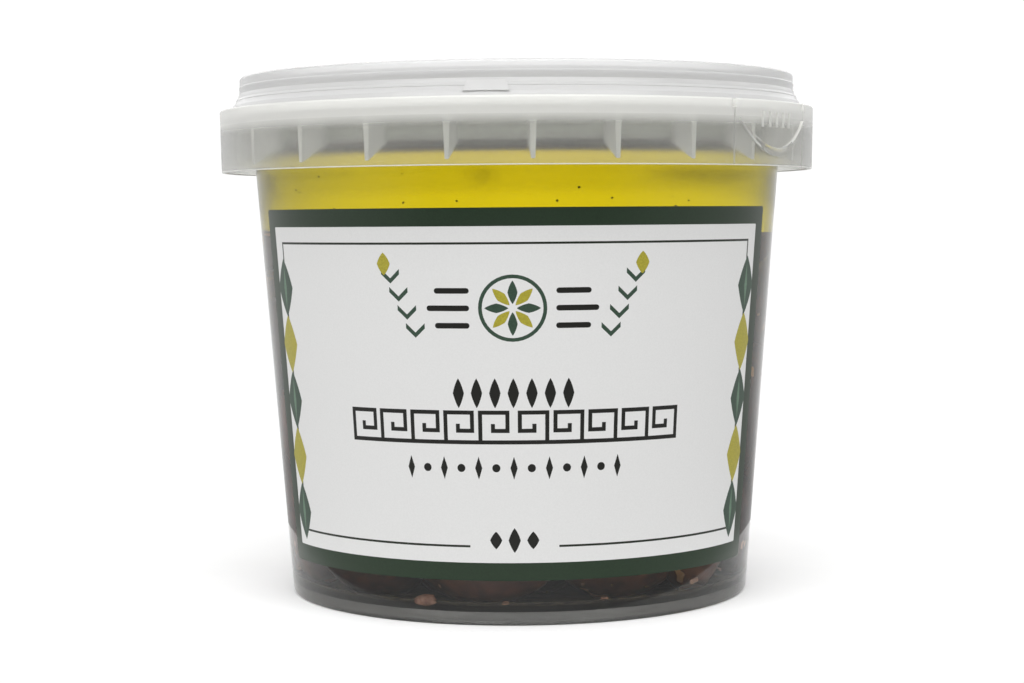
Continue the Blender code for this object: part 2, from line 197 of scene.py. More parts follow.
def linear(hex_colour):
    """Turn an sRGB hex colour into a linear RGBA value."""
    shares = [int(hex_colour[place:place + 2], 16) / 255.0 for place in (1, 3, 5)]
    return tuple(
        share / 12.92 if share <= 0.04045 else ((share + 0.055) / 1.055) ** 2.4
        for share in shares
    ) + (1.0,)


def add(tree, kind, sockets=None, **settings):
    """Add a node with its settings. A socket is set to a value, or linked to an output or a node's first."""
    node = tree.nodes.new("ShaderNode" + kind)
    for name, value in settings.items():
        setattr(node, name, value)
    for name, value in (sockets or {}).items():
        if isinstance(value, bpy.types.Node):
            value = value.outputs[0]
        if isinstance(value, bpy.types.NodeSocket):
            tree.links.new(value, node.inputs[name])
        else:
            node.inputs[name].default_value = value
    return node


def new_finish(name):
    """An empty material and its node tree."""
    made = bpy.data.materials.new(name)
    made.use_nodes = True
    made.node_tree.nodes.clear()
    return made, made.node_tree


def set_stops(ramp, stops):
    """Give a colour ramp its stops, as (place, RGBA colour) in rising order."""
    spots = ramp.color_ramp.elements
    while len(spots) < len(stops):
        spots.new(0.5)
    for spot, (place, colour) in zip(spots, stops):
        spot.position = place
        spot.color = colour


# Shapes of turned parts


def wall_radius(height):
    """Outer radius of the tub's cone at a height."""
    return FOOT_RADIUS + DRAUGHT * height


def inner_radius(height):
    """Radius of the tub's inner face at a height."""
    return wall_radius(height) - WALL


def around(turn, radius, height):
    """A point at an angle from the front, positive towards +X."""
    return Vector((radius * math.sin(turn), -radius * math.cos(turn), height))


def arc(middle, radius, start, end, steps):
    """Points (radius, height) along an arc, given in degrees."""
    points = []
    for step in range(steps + 1):
        angle = math.radians(start + (end - start) * step / steps)
        points.append((middle[0] + radius * math.cos(angle), middle[1] + radius * math.sin(angle)))
    return points


def held(profile, reach=0.25 * MM):
    """Add a point near each end of a long straight run, so that smooth shading stays true along it."""
    points = [profile[0]]
    for start, end in zip(profile, profile[1:]):
        length = math.dist(start, end)
        if length > 2.0 * MM:
            for share in (reach / length, 1.0 - reach / length):
                points.append(tuple(a + (b - a) * share for a, b in zip(start, end)))
        points.append(end)
    return points


def link_mesh(name, mesh, *finishes):
    """Link a mesh as an object with its materials."""
    piece = bpy.data.objects.new(name, mesh)
    for finish in finishes:
        mesh.materials.append(finish)
    bpy.context.scene.collection.objects.link(piece)
    return piece


def turned(name, profile, steps):
    """Turn a profile of (radius, height) points round +Z. It runs down its outer side."""
    mesh = bpy.data.meshes.new(name)
    points = [(radius, 0.0, height) for radius, height in held(profile)]
    mesh.from_pydata(points, [(step, step + 1) for step in range(len(points) - 1)], [])
    piece = link_mesh(name, mesh)
    screw = piece.modifiers.new("Turn", "SCREW")
    screw.axis = "Z"
    screw.angle = FULL_TURN
    screw.steps = steps
    screw.render_steps = steps
    screw.use_merge_vertices = True
    screw.merge_threshold = 0.001 * MM
    return piece


def mesh_from(name, bm):
    """Turn a bmesh into a mesh, and free it."""
    mesh = bpy.data.meshes.new(name)
    bm.to_mesh(mesh)
    bm.free()
    return mesh


def tool_from(name, bm):
    """Turn a bmesh into an object for a Boolean."""
    bmesh.ops.recalc_face_normals(bm, faces=bm.faces)
    return link_mesh(name, mesh_from(name, bm))


def blocks(name, turns, corner):
    """A block at each angle. Its corners lie at the (half angle, radius, height) of corner(out, up)."""
    bm = bmesh.new()
    for turn in turns:
        for vert in bmesh.ops.create_cube(bm, size=2.0)["verts"]:
            out, side, up = [1 if value > 0 else -1 for value in vert.co]
            half, radius, height = corner(out, up)
            vert.co = around(turn + side * half, radius, height)
    return tool_from(name, bm)


def cut_and_join(piece, tools, name, sharp):
    """Apply a turned piece with its Booleans, and drop the tools."""
    for operation, tool in tools:
        step = piece.modifiers.new(operation.title(), "BOOLEAN")
        step.operation = operation
        step.object = tool
        step.solver = "EXACT"
    graph = bpy.context.evaluated_depsgraph_get()
    mesh = bpy.data.meshes.new_from_object(piece.evaluated_get(graph))
    for spare in [piece] + [tool for _, tool in tools]:
        bpy.data.objects.remove(spare, do_unlink=True)
    mesh.name = name
    mesh.materials.clear()
    mesh.shade_smooth()
    mesh.set_sharp_from_angle(angle=math.radians(sharp))
    return mesh


def looks_out(spot, normal):
    """How squarely a face looks away from the tub's axis: 1 outwards, 0 along it or round it, -1 inwards."""
    return (normal.x * spot.x + normal.y * spot.y) / max(math.hypot(spot.x, spot.y), MM)


def tub_face(spot, normal):
    """Which of the tub's finishes a face has, from where its middle is and which way it looks."""
    slim = 0.05 * MM
    out = math.hypot(spot.x, spot.y)
    outward = looks_out(spot, normal)
    # Flange, gussets and ring
    if spot.z > RING_BOTTOM - slim and out > wall_radius(spot.z) + 0.3 * MM:
        within = out < ring_inner(spot.z) - slim
        level = abs(normal.z) > 0.95
        if within and level and FLANGE_UNDER - slim < spot.z < FLANGE_TOP + slim:
            return THICK
        if (within and spot.z < FLANGE_UNDER) or spot.z < RING_BOTTOM + 3.0 * slim:
            return PLATE
        # The ring's inner face
        if outward < -0.9:
            return CLEAR
        # Sides of cuts in the ring are milky, and those of the smile and bars on it less so
        if outward < 0.85:
            cut = out < ring_inner(spot.z) + 0.7 * RING_WALL
            return PLATE if cut else BACKED
        return BACKED if spot.z > FLANGE_UNDER else FROSTED
    if spot.z < FLOOR_UNDER + slim and out < FOOT_RADIUS - 2.0 * WALL + slim:
        return UNDERSIDE
    if spot.z > FLOOR_TOP - slim and out < inner_radius(spot.z) + slim:
        if FLANGE_UNDER < spot.z < FLANGE_TOP:
            return THICK
        if WET_TOP < spot.z < FLANGE_UNDER:
            return SMEARED_SHADED
        return WETTED if spot.z < WET_TOP else CLEAR
    return CLEAR


def lid_face(spot, normal):
    """The lid's outside is frosted and its inside is smooth."""
    top = normal.z > 0.5 and spot.z > PANEL_TOP - 0.1 * MM
    side = looks_out(spot, normal) > 0.3 and math.hypot(spot.x, spot.y) > LID_RADIUS - LID_EDGE
    return 0 if top or side else 1


def ring_inner(height):
    """Inner radius of the tamper ring at a height."""
    share = (RING_TOP - height) / (RING_TOP - RING_BOTTOM)
    return RING_RADIUS - RING_DRAUGHT * share - RING_WALL


def tub_profile():
    """Floor, inner wall, rim, flange, ring, outer wall and foot, from axis to axis."""
    fillet_middle = (inner_radius(FLOOR_TOP) - FLOOR_FILLET, FLOOR_TOP + FLOOR_FILLET)
    profile = [(0.0, FLOOR_TOP)]
    profile += arc(fillet_middle, FLOOR_FILLET, -90, 0, 8)
    rim_out = wall_radius(RIM_TOP)
    profile += [
        (inner_radius(WET_TOP), WET_TOP),
        (inner_radius(FLANGE_UNDER), FLANGE_UNDER),
        (inner_radius(FLANGE_TOP), FLANGE_TOP),
        (inner_radius(RIM_TOP), RIM_TOP - 0.2 * MM),
        (inner_radius(RIM_TOP) + 0.2 * MM, RIM_TOP),
        (rim_out - 0.2 * MM, RIM_TOP),
        (rim_out + RIM_BEAD, RIM_BEAD_HEIGHT + 0.2 * MM),
        (rim_out + RIM_BEAD, RIM_BEAD_HEIGHT - 0.2 * MM),
        (wall_radius(RIM_BEAD_HEIGHT), RIM_BEAD_HEIGHT - 0.7 * MM),
        (wall_radius(FLANGE_TOP), FLANGE_TOP),
        (ring_inner(FLANGE_TOP), FLANGE_TOP),
        (ring_inner(RING_TOP), RING_TOP - 0.2 * MM),
        (ring_inner(RING_TOP) + 0.2 * MM, RING_TOP),
    ]
    profile += arc((RING_RADIUS - RING_EDGE, RING_TOP - RING_EDGE), RING_EDGE, 90, 0, 5)
    profile += [(ring_inner(height) + RING_WALL, height) for height in (FLANGE_TOP, FLANGE_UNDER)]
    lip = 0.15 * MM
    outer_foot = RING_RADIUS - RING_DRAUGHT
    profile += arc((outer_foot - lip, RING_BOTTOM + lip), lip, 0, -90, 3)
    profile += arc((ring_inner(RING_BOTTOM) + lip, RING_BOTTOM + lip), lip, -90, -180, 3)
    profile += [
        (ring_inner(FLANGE_UNDER), FLANGE_UNDER),
        (wall_radius(FLANGE_UNDER), FLANGE_UNDER),
        (wall_radius(FOOT_EDGE), FOOT_EDGE),
    ]
    profile += arc((FOOT_RADIUS - FOOT_EDGE, FOOT_EDGE), FOOT_EDGE, -12, -90, 6)
    profile += [
        (FOOT_RADIUS - 2.0 * WALL, 0.0), (FOOT_RADIUS - 2.6 * WALL, FLOOR_UNDER), (0.0, FLOOR_UNDER),
    ]
    return profile


def gusset_blocks():
    """Plates from the wall to just short of the ring, so that their milky front edges show."""

    def corner(out, up):
        if up > 0:
            height = FLANGE_UNDER + EMBED
        else:
            height = GUSSET_TIP if out > 0 else GUSSET_HEEL
        radius = ring_inner(height) - GUSSET_GAP if out > 0 else wall_radius(height) - EMBED
        width = GUSSET_TIP_WIDTH if out > 0 > up else GUSSET_WIDTH
        return width / 2.0 / radius, radius, height

    return blocks("gussets", [GUSSET_TURN + FULL_TURN * count / GUSSETS for count in range(GUSSETS)], corner)


def tab_cutters(name, width, bottom, inner):
    """Cutters at both ends of the tear tab, from over the ring down to bottom and in to inner."""

    def corner(out, up):
        radius = RING_RADIUS + EMBED if out > 0 else inner
        return width / 2.0 / radius, radius, RING_TOP + EMBED if up > 0 else bottom

    return blocks(name, (TAB_TURN - TAB_HALF, TAB_TURN + TAB_HALF), corner)


def tab_smile(steps=28):
    """The raised smile on the tear tab: a bent bar that thins towards its ends."""
    bm = bmesh.new()
    outer = RING_RADIUS + SMILE_RISE
    inner = RING_RADIUS - RING_WALL / 2.0
    rows = []
    for step in range(steps + 1):
        share = 2.0 * step / steps - 1.0
        turn = TAB_TURN + share * (TAB_HALF - 0.02)
        half = SMILE_WIDTH / 2.0 * (1.0 - 0.7 * share * share)
        middle = SMILE_LOW + (SMILE_END_HEIGHT - SMILE_LOW) * share * share
        crown = half * 0.6
        corners = ((inner, -half), (outer - 0.12 * MM, -half), (outer, -crown), (outer, crown))
        corners += ((outer - 0.12 * MM, half), (inner, half))
        rows.append([bm.verts.new(around(turn, radius, middle + rise)) for radius, rise in corners])
    sides = len(rows[0])
    for left, right in zip(rows, rows[1:]):
        for side in range(sides):
            after = (side + 1) % sides
            bm.faces.new((left[side], left[after], right[after], right[side]))
    bm.faces.new(rows[0])
    bm.faces.new(reversed(rows[-1]))
    return tool_from("tab_smile", bm)


def grip_bars():
    """Short upright bars over the smile, for the thumb. They narrow outwards."""

    def corner(out, up):
        height = GRIP_BAR_TOP if up > 0 else GRIP_BAR_TOP - GRIP_BAR_DROP
        radius = RING_RADIUS + (SMILE_RISE if out > 0 else -RING_WALL / 2.0)
        width = GRIP_BAR_WIDTH * (0.6 if out > 0 else 1.0)
        return width / 2.0 / radius, radius, height

    turns = [TAB_TURN + (count - (GRIP_BARS - 1) / 2.0) * GRIP_PITCH for count in range(GRIP_BARS)]
    return blocks("grip_bars", turns, corner)


def lid_profile():
    """Panel, raised cap and skirt on the outside, then back along the inside."""
    plug_out = inner_radius(RIM_TOP) - FIT_GAP
    plug_foot_out = inner_radius(PLUG_FOOT) - FIT_GAP
    cap_in = wall_radius(RIM_TOP) + RIM_BEAD + FIT_GAP
    cap_under = RIM_TOP + 2.0 * FIT_GAP
    profile = [(0.0, PANEL_TOP), (PANEL_RADIUS - 0.3 * MM, PANEL_TOP), (PANEL_RADIUS, PANEL_TOP + 0.1 * MM)]
    profile += arc((CAP_INNER + 0.25 * MM, LID_TOP - 0.25 * MM), 0.25 * MM, 180, 90, 4)
    profile += arc((LID_RADIUS - LID_EDGE, LID_TOP - LID_EDGE), LID_EDGE, 90, 0, 8)
    # A fine bead round the cap, in millimetres below the top and out from the side
    for drop, rise in ((1.55, 0.0), (1.7, 0.1), (2.0, 0.1), (2.15, 0.04)):
        profile.append((LID_RADIUS + rise * MM, LID_TOP - drop * MM))
    profile += [(LID_RADIUS + 0.08 * MM, CAP_BOTTOM + 0.12 * MM), (LID_RADIUS + 0.16 * MM, CAP_BOTTOM)]
    # One more bead on the skirt's slope, and one at its shoulder, by share of the slope
    for share, rise in ((0.25, 0.0), (0.29, 0.07), (0.4, 0.07), (0.44, 0.0), (0.7, 0.0), (0.74, 0.07)):
        radius = LID_RADIUS + (SKIRT_RADIUS - LID_RADIUS) * share
        profile.append((radius + rise * MM, CAP_BOTTOM + (SKIRT_SHOULDER - CAP_BOTTOM) * share))
    profile += [
        (SKIRT_RADIUS - 0.06 * MM, SKIRT_SHOULDER + 0.1 * MM),
        (SKIRT_RADIUS + 0.03 * MM, SKIRT_SHOULDER - 0.1 * MM),
        (SKIRT_FOOT_RADIUS, SKIRT_FOOT),
        (SKIRT_FOOT_RADIUS - LID_WALL, SKIRT_FOOT),
        (SKIRT_RADIUS - LID_WALL, SKIRT_SHOULDER),
        (CATCH_RADIUS + 0.1 * MM, CATCH_HEIGHT - 0.15 * MM),
        (CATCH_RADIUS, CATCH_HEIGHT),
        (cap_in, CATCH_HEIGHT + 0.6 * MM),
        (cap_in - 0.1 * MM, cap_under),
        (plug_out, cap_under),
        (plug_foot_out, PLUG_FOOT),
        (plug_foot_out - LID_WALL, PLUG_FOOT),
        (PANEL_RADIUS - 0.2 * MM, PANEL_TOP - LID_WALL),
        (0.0, PANEL_TOP - LID_WALL),
    ]
    return profile


def lid_lug():
    """The low lug on the lid's slope that shows where to lift it."""

    def corner(out, up):
        reach = LUG_RISE if out > 0 else -LID_WALL / 2.0
        if up > 0:
            return LUG_HALF_TOP, LID_RADIUS + reach, CAP_BOTTOM - 0.2 * MM
        return LUG_HALF_FOOT, SKIRT_RADIUS - 0.3 * MM + reach, LUG_FOOT

    return blocks("lid_lug", [LUG_TURN], corner)


# Finishes of the plastics


def clear_moulding(name, tint, roughness, haze, misted=None):
    """Clear random polypropylene, injection moulded: glassy, with faint flow streaks up the wall.

    Where misted is given, the wall blurs that much above the label, as it does near the mould's gate.
    """
    made, tree = new_finish(name)
    place = add(tree, "TexCoord").outputs["Object"]
    upright = add(tree, "Mapping", {"Vector": place, "Scale": (1.0, 1.0, 0.0)})
    # Flow streaks lie about 3 mm apart round the wall
    streaks = add(tree, "TexNoise", {"Vector": upright, "Scale": 1.0 / (3.0 * MM), "Detail": 3.0})
    bump = add(tree, "Bump", {"Height": streaks, "Strength": 0.3, "Distance": 0.05 * MM})
    if misted:
        parts = add(tree, "SeparateXYZ", {"Vector": place})
        roughness = add(
            tree, "MapRange",
            {"Value": parts.outputs["Z"], "From Min": LABEL_TOP - 4.0 * MM, "From Max": LABEL_TOP,
             "To Min": roughness, "To Max": misted},
        )
    shader = add(
        tree, "BsdfPrincipled",
        {
            "Base Color": (*tint, 1.0),
            "Roughness": roughness,
            "IOR": 1.49,
            "Transmission Weight": 1.0 - haze,
            "Specular IOR Level": 0.22,
            "Normal": bump,
        },
    )
    add(tree, "OutputMaterial", {"Surface": shader})
    return made


def wetted_face():
    """Where oil lies on the wall its face vanishes: both bend light alike, so nothing is left to see."""
    made, tree = new_finish("oil wetted polypropylene")
    shader = add(
        tree, "BsdfPrincipled",
        {"Base Color": (1.0, 1.0, 1.0, 1.0), "Roughness": 0.0, "IOR": 1.0, "Transmission Weight": 1.0},
    )
    add(tree, "OutputMaterial", {"Surface": shader})
    return made


def smeared_shaded_face():
    """The inner wall over the oil: clear near the rim, greyer lower down with painted shade."""
    made, tree = new_finish("oil smeared polypropylene, painted shade")
    place = add(tree, "TexCoord").outputs["Object"]
    parts = add(tree, "SeparateXYZ", {"Vector": place})
    # Runs of oil are about 5 mm apart
    runs = add(tree, "TexNoise", {"Vector": place, "Scale": 1.0 / (5.0 * MM), "Detail": 2.0})
    edge = add(tree, "Math", {0: runs, 1: 1.2 * MM, 2: parts.outputs["Z"]}, operation="MULTIPLY_ADD")
    wall_top = FLANGE_UNDER + 0.6 * MM
    share = add(tree, "MapRange", {"Value": edge, "From Min": WET_TOP + 0.6 * MM, "From Max": wall_top})
    # Painted shade: the tint runs from grey low on the wall to near white under the flange
    film = add(tree, "ValToRGB", {"Fac": share})
    set_stops(film, ((0.0, linear("#a9aaa4")), (0.5, linear("#d0d1cb")), (1.0, linear("#fefdf4"))))
    # Fine drops on the last 2 mm of the wall scatter light
    drops = add(
        tree, "MapRange",
        {"Value": edge, "From Min": FLANGE_UNDER - 1.8 * MM, "From Max": wall_top,
         "To Min": 0.98, "To Max": 0.45},
        interpolation_type="SMOOTHSTEP",
    )
    shader = add(
        tree, "BsdfPrincipled",
        {
            "Base Color": film,
            "Roughness": 0.15,
            "IOR": 1.49,
            "Transmission Weight": drops,
            "Specular IOR Level": 0.28,
        },
    )
    add(tree, "OutputMaterial", {"Surface": shader})
    return made


def frosted_moulding(name, tint, roughness, milk, relief=0.04 * MM, turning=0.0, rim_milk=None):
    """Polypropylene moulded against etched steel: it scatters what lies behind, near things least.

    Turning marks of the mould, drawn far coarser than they are, streak its shine round the rim.
    Milk is the share of light that it scatters, and rim_milk that share close under the flange.
    """
    made, tree = new_finish(name)
    place = add(tree, "TexCoord").outputs["Object"]
    etch = add(
        tree, "TexNoise", {"Vector": place, "Scale": 1.0 / (0.35 * MM), "Detail": 4.0, "Roughness": 0.6},
    )
    flat = add(tree, "Mapping", {"Vector": place, "Scale": (0.03, 0.03, 1.0)})
    # Turning marks are drawn 0.8 mm apart up the wall
    marks = add(tree, "TexNoise", {"Vector": flat, "Scale": 1.0 / (0.8 * MM), "Detail": 3.0})
    mixed = add(tree, "Math", {0: marks, 1: turning, 2: etch}, operation="MULTIPLY_ADD")
    bump = add(tree, "Bump", {"Height": mixed, "Strength": 0.3, "Distance": relief})
    clear = 1.0 - milk
    if rim_milk:
        # The flange whitens the last 1.6 mm below it
        parts = add(tree, "SeparateXYZ", {"Vector": place})
        clear = add(
            tree, "MapRange",
            {"Value": parts.outputs["Z"], "From Min": FLANGE_UNDER - 1.6 * MM,
             "From Max": FLANGE_UNDER + 0.3 * MM, "To Min": clear, "To Max": 1.0 - rim_milk},
        )
    shader = add(
        tree, "BsdfPrincipled",
        {
            "Base Color": (*tint, 1.0),
            "Roughness": roughness,
            "IOR": 1.49,
            "Transmission Weight": clear,
            "Specular IOR Level": 0.4,
            "Normal": bump,
        },
    )
    add(tree, "OutputMaterial", {"Surface": shader})
    return made


# The label's print


def rectangle(left, bottom, right, top, corner=0.0, steps=5):
    """A rectangle in print millimetres, with round corners if asked."""
    if corner <= 0.0:
        return [(left, bottom), (right, bottom), (right, top), (left, top)]
    points = []
    for middle, start in (
        ((right - corner, bottom + corner), -90), ((right - corner, top - corner), 0),
        ((left + corner, top - corner), 90), ((left + corner, bottom + corner), 180),
    ):
        points += arc(middle, corner, start, start + 90, steps)
    return points


def lozenge(middle, half_width, half_height, bulge=0.0, steps=6):
    """A lozenge whose sides bow outwards by bulge."""
    tips = [(0.0, -half_height), (half_width, 0.0), (0.0, half_height), (-half_width, 0.0)]
    points = []
    for tip, after in zip(tips, tips[1:] + tips[:1]):
        count = steps if bulge > 0.0 else 1
        for step in range(count):
            share = step / count
            across = tip[0] + (after[0] - tip[0]) * share
            up = tip[1] + (after[1] - tip[1]) * share
            swell = 1.0 + bulge * math.sin(math.pi * share)
            points.append((middle[0] + across * swell, middle[1] + up * swell))
    return points


def disc(middle, radius, steps=28):
    """A round spot."""
    return arc(middle, radius, 0, 360, steps)[:-1]


def key_band(bottom, unit, height, stroke, count):
    """A meander: squared hooks on one line, as bars that touch, mirrored about the middle."""
    bars = []
    for step in range(count):
        start = unit * (step - count)
        right = start + unit - stroke
        inside = start + unit * 0.36
        top = bottom + height
        low = bottom + height * 0.34
        bars += [
            (start, bottom, start + stroke, top),
            (start, top - stroke, right, top),
            (right - stroke, low, right, top - stroke),
            (inside, low, right - stroke, low + stroke),
            (inside, low + stroke, inside + stroke, low + 2.2 * stroke),
            (start + stroke, bottom, start + unit, bottom + stroke),
        ]
    bars += [(-right, low, -left, high) for left, low, right, high in bars]
    return [rectangle(*bar) for bar in bars]


def print_shapes():
    """Every field of the print as (ink, outline) in millimetres, the lowest layer first."""
    half = (LABEL_RIGHT - LABEL_LEFT) / 2.0 * PRINT_RADIUS / MM
    bottom, top = LABEL_BOTTOM / MM, LABEL_TOP / MM
    border, inset, line = 2.75, 2.35, 0.34
    shapes = [("border", rectangle(-half, bottom, half, top, 0.6))]
    panel = (-half + border, bottom + border, half - border, top - border)
    shapes.append(("panel", rectangle(*panel, 0.25)))
    outer = (panel[0] + inset, panel[1] + inset, panel[2] - inset, panel[3] - inset)
    # A fine rule round the panel, open for a gap at the bottom
    gap = 7.0
    shapes += [
        ("rule", rectangle(outer[0], outer[3] - line, outer[2], outer[3])),
        ("rule", rectangle(outer[0], outer[1], outer[0] + line, outer[3] - line)),
        ("rule", rectangle(outer[2] - line, outer[1], outer[2], outer[3] - line)),
        ("rule", rectangle(outer[0] + line, outer[1], -gap, outer[1] + line)),
        ("rule", rectangle(gap, outer[1], outer[2] - line, outer[1] + line)),
    ]
    # Leaves and olives down both sides
    for side in (-1.0, 1.0):
        for count in range(5):
            ink = "olive" if count in (1, 3) else "leaf"
            middle = (side * (outer[2] + 0.1), 15.2 + 8.9 * count)
            shapes.append((ink, lozenge(middle, 2.5, 4.6, 0.1)))
            if ink == "leaf":
                shapes.append(("light", lozenge(middle, 0.45, 3.4)))
    shapes += emblem()
    # A row of lozenges, a meander, a line of spots and lozenges, and three lozenges at the foot
    for count in range(7):
        shapes.append(("ink", lozenge((2.75 * (count - 3), 35.5), 0.85, 2.25, 0.12)))
    shapes += [("ink", bar) for bar in key_band(27.8, 5.35, 5.1, 0.62, 5)]
    for count in range(13):
        place = (2.7 * (count - 6), 24.2)
        if count % 2:
            shapes.append(("ink", disc(place, 0.62)))
        else:
            shapes.append(("ink", lozenge(place, 0.55, 1.75)))
    for count in range(3):
        tall = 1.9 if count == 1 else 1.35
        shapes.append(("ink", lozenge((2.9 * (count - 1), 13.2), 0.95, tall, 0.12)))
    return shapes


def emblem():
    """The heading: a ringed rosette with a wing of bars on either side and a chevron ladder beyond."""
    middle = (0.0, 48.2)
    shapes = [("leaf", disc(middle, 5.0, 40)), ("panel", disc(middle, 4.45, 40))]
    for count in range(8):
        angle = FULL_TURN * count / 8
        petal = []
        for across, along in lozenge((0.0, 2.35), 0.72, 1.75, 0.15):
            petal.append((
                middle[0] + across * math.cos(angle) - along * math.sin(angle),
                middle[1] + across * math.sin(angle) + along * math.cos(angle),
            ))
        shapes.append(("olive" if count % 2 else "leaf", petal))
    for side in (-1.0, 1.0):
        for count, length in enumerate((5.2, 6.4, 5.2)):
            height = middle[1] + 2.6 * (1 - count)
            ends = sorted((side * 6.3, side * (6.3 + length)))
            shapes.append(("ink", rectangle(ends[0], height - 0.42, ends[1], height + 0.42, 0.4, 3)))
        for count in range(4):
            place = (side * (14.6 + 1.25 * count), 44.4 + 2.7 * count)
            chevron = [(-1.5, 0.75), (0.0, -0.65), (1.5, 0.75), (1.5, 1.55), (0.0, 0.15), (-1.5, 1.55)]
            shapes.append(("leaf", [(place[0] + x, place[1] + y) for x, y in chevron]))
        shapes.append(("olive", lozenge((side * 19.4, 54.8), 1.1, 1.7, 0.15)))
    return shapes


INKS = {
    "border": "#223322",
    "panel": "#e1e1e0",
    "rule": "#1c2318",
    "leaf": "#33483a",
    "light": "#5f7a66",
    "olive": "#a59c34",
    "ink": "#161612",
}


def printed_film(name, colour):
    """Satin polypropylene film, screen printed: flat ink with a very fine grain under a soft shine."""
    made, tree = new_finish("printed film " + name)
    place = add(tree, "TexCoord").outputs["Object"]
    # Ink grain is about 0.05 mm. It is drawn at 0.25 mm so that it shows.
    grain = add(tree, "TexNoise", {"Vector": place, "Scale": 1.0 / (0.25 * MM), "Detail": 2.0})
    tone = linear(colour)[:3]
    lift = 1.02 if name == "panel" else 1.16
    dark = (*[share / lift for share in tone], 1.0)
    light = (*[min(1.0, share * lift) for share in tone], 1.0)
    ramp = add(tree, "ValToRGB", {"Fac": grain})
    set_stops(ramp, ((0.3, dark), (0.7, light)))
    # The film ripples a little where it is laid on the cone
    ripple = add(tree, "TexNoise", {"Vector": place, "Scale": 1.0 / (12.0 * MM), "Detail": 1.0})
    bump = add(tree, "Bump", {"Height": ripple, "Strength": 0.4, "Distance": 0.12 * MM})
    shader = add(tree, "BsdfPrincipled", {"Base Color": ramp, "Roughness": 0.3, "IOR": 1.5, "Normal": bump})
    add(tree, "OutputMaterial", {"Surface": shader})
    return made


def label_point(across, up, lift):
    """A place on the cone from print millimetres, lifted off the tub's wall."""
    turn = LABEL_MIDDLE + across * MM / PRINT_RADIUS
    height = up * MM
    return around(turn, wall_radius(height) + lift, height)


def label_mesh(inks):
    """Cut the label's sheet along every printed outline, bend it round the cone and thicken it."""
    shapes = print_shapes()
    points, faces = [], []
    for _, outline in shapes:
        faces.append(list(range(len(points), len(points) + len(outline))))
        points += [Vector(point) for point in outline]
    # Upright edges bend the sheet. They reach past it, and what is outside has no owner.
    past = 0.5
    half = max(point.x for point in points) + past
    low, high = LABEL_BOTTOM / MM - past, LABEL_TOP / MM + past
    edges = []
    for column in range(1, LABEL_COLUMNS):
        across = -half + 2.0 * half * column / LABEL_COLUMNS
        edges.append((len(points), len(points) + 1))
        points += [Vector((across, low)), Vector((across, high))]
    flat, _, cells, _, _, owners = delaunay_2d_cdt(points, edges, faces, 0, 1e-5)
    names = list(inks)
    lift = LABEL_GAP + LABEL_THICK
    bm = bmesh.new()
    verts = [bm.verts.new(label_point(point.x, point.y, lift)) for point in flat]
    for cell, owner in zip(cells, owners):
        if not owner:
            continue
        face = bm.faces.new([verts[corner] for corner in cell])
        face.material_index = names.index(shapes[max(owner)][0])
    bmesh.ops.delete(bm, geom=[vert for vert in bm.verts if not vert.link_faces], context="VERTS")
    outer = list(bm.faces)
    rim = [edge for edge in bm.edges if edge.is_boundary]
    back = bmesh.ops.duplicate(bm, geom=outer)
    twin = back["vert_map"]
    for face in [item for item in back["geom"] if isinstance(item, bmesh.types.BMFace)]:
        face.normal_flip()
        face.material_index = names.index("panel")
    moved = {twin[vert] for vert in {vert for face in outer for vert in face.verts}}
    for vert in moved:
        turn = Vector((vert.co.x, vert.co.y, 0.0)).normalized()
        vert.co -= turn * LABEL_THICK
    for edge in rim:
        first, second = [loop.vert for loop in (edge.link_loops[0], edge.link_loops[0].link_loop_next)]
        wall = bm.faces.new((second, first, twin[first], twin[second]))
        wall.material_index = names.index("border")
    mesh = mesh_from("wrap_label", bm)
    mesh.shade_smooth()
    mesh.set_sharp_from_angle(angle=math.radians(30))
    # Normals come from the cone itself, so that the cut cells don't show in the shine
    normals = []
    lean = Vector((1.0, -DRAUGHT)).normalized()
    for face in mesh.polygons:
        out = Vector((face.center.x, face.center.y, 0.0)).normalized()
        facing = face.normal.dot(out)
        for corner in face.loop_indices:
            spot = mesh.vertices[mesh.loops[corner].vertex_index].co
            out = Vector((spot.x, spot.y, 0.0)).normalized()
            smooth = Vector((out.x * lean.x, out.y * lean.x, lean.y))
            normals.append(face.normal if abs(facing) < 0.5 else smooth * math.copysign(1.0, facing))
    mesh.normals_split_custom_set(normals)
    return mesh


# Olives


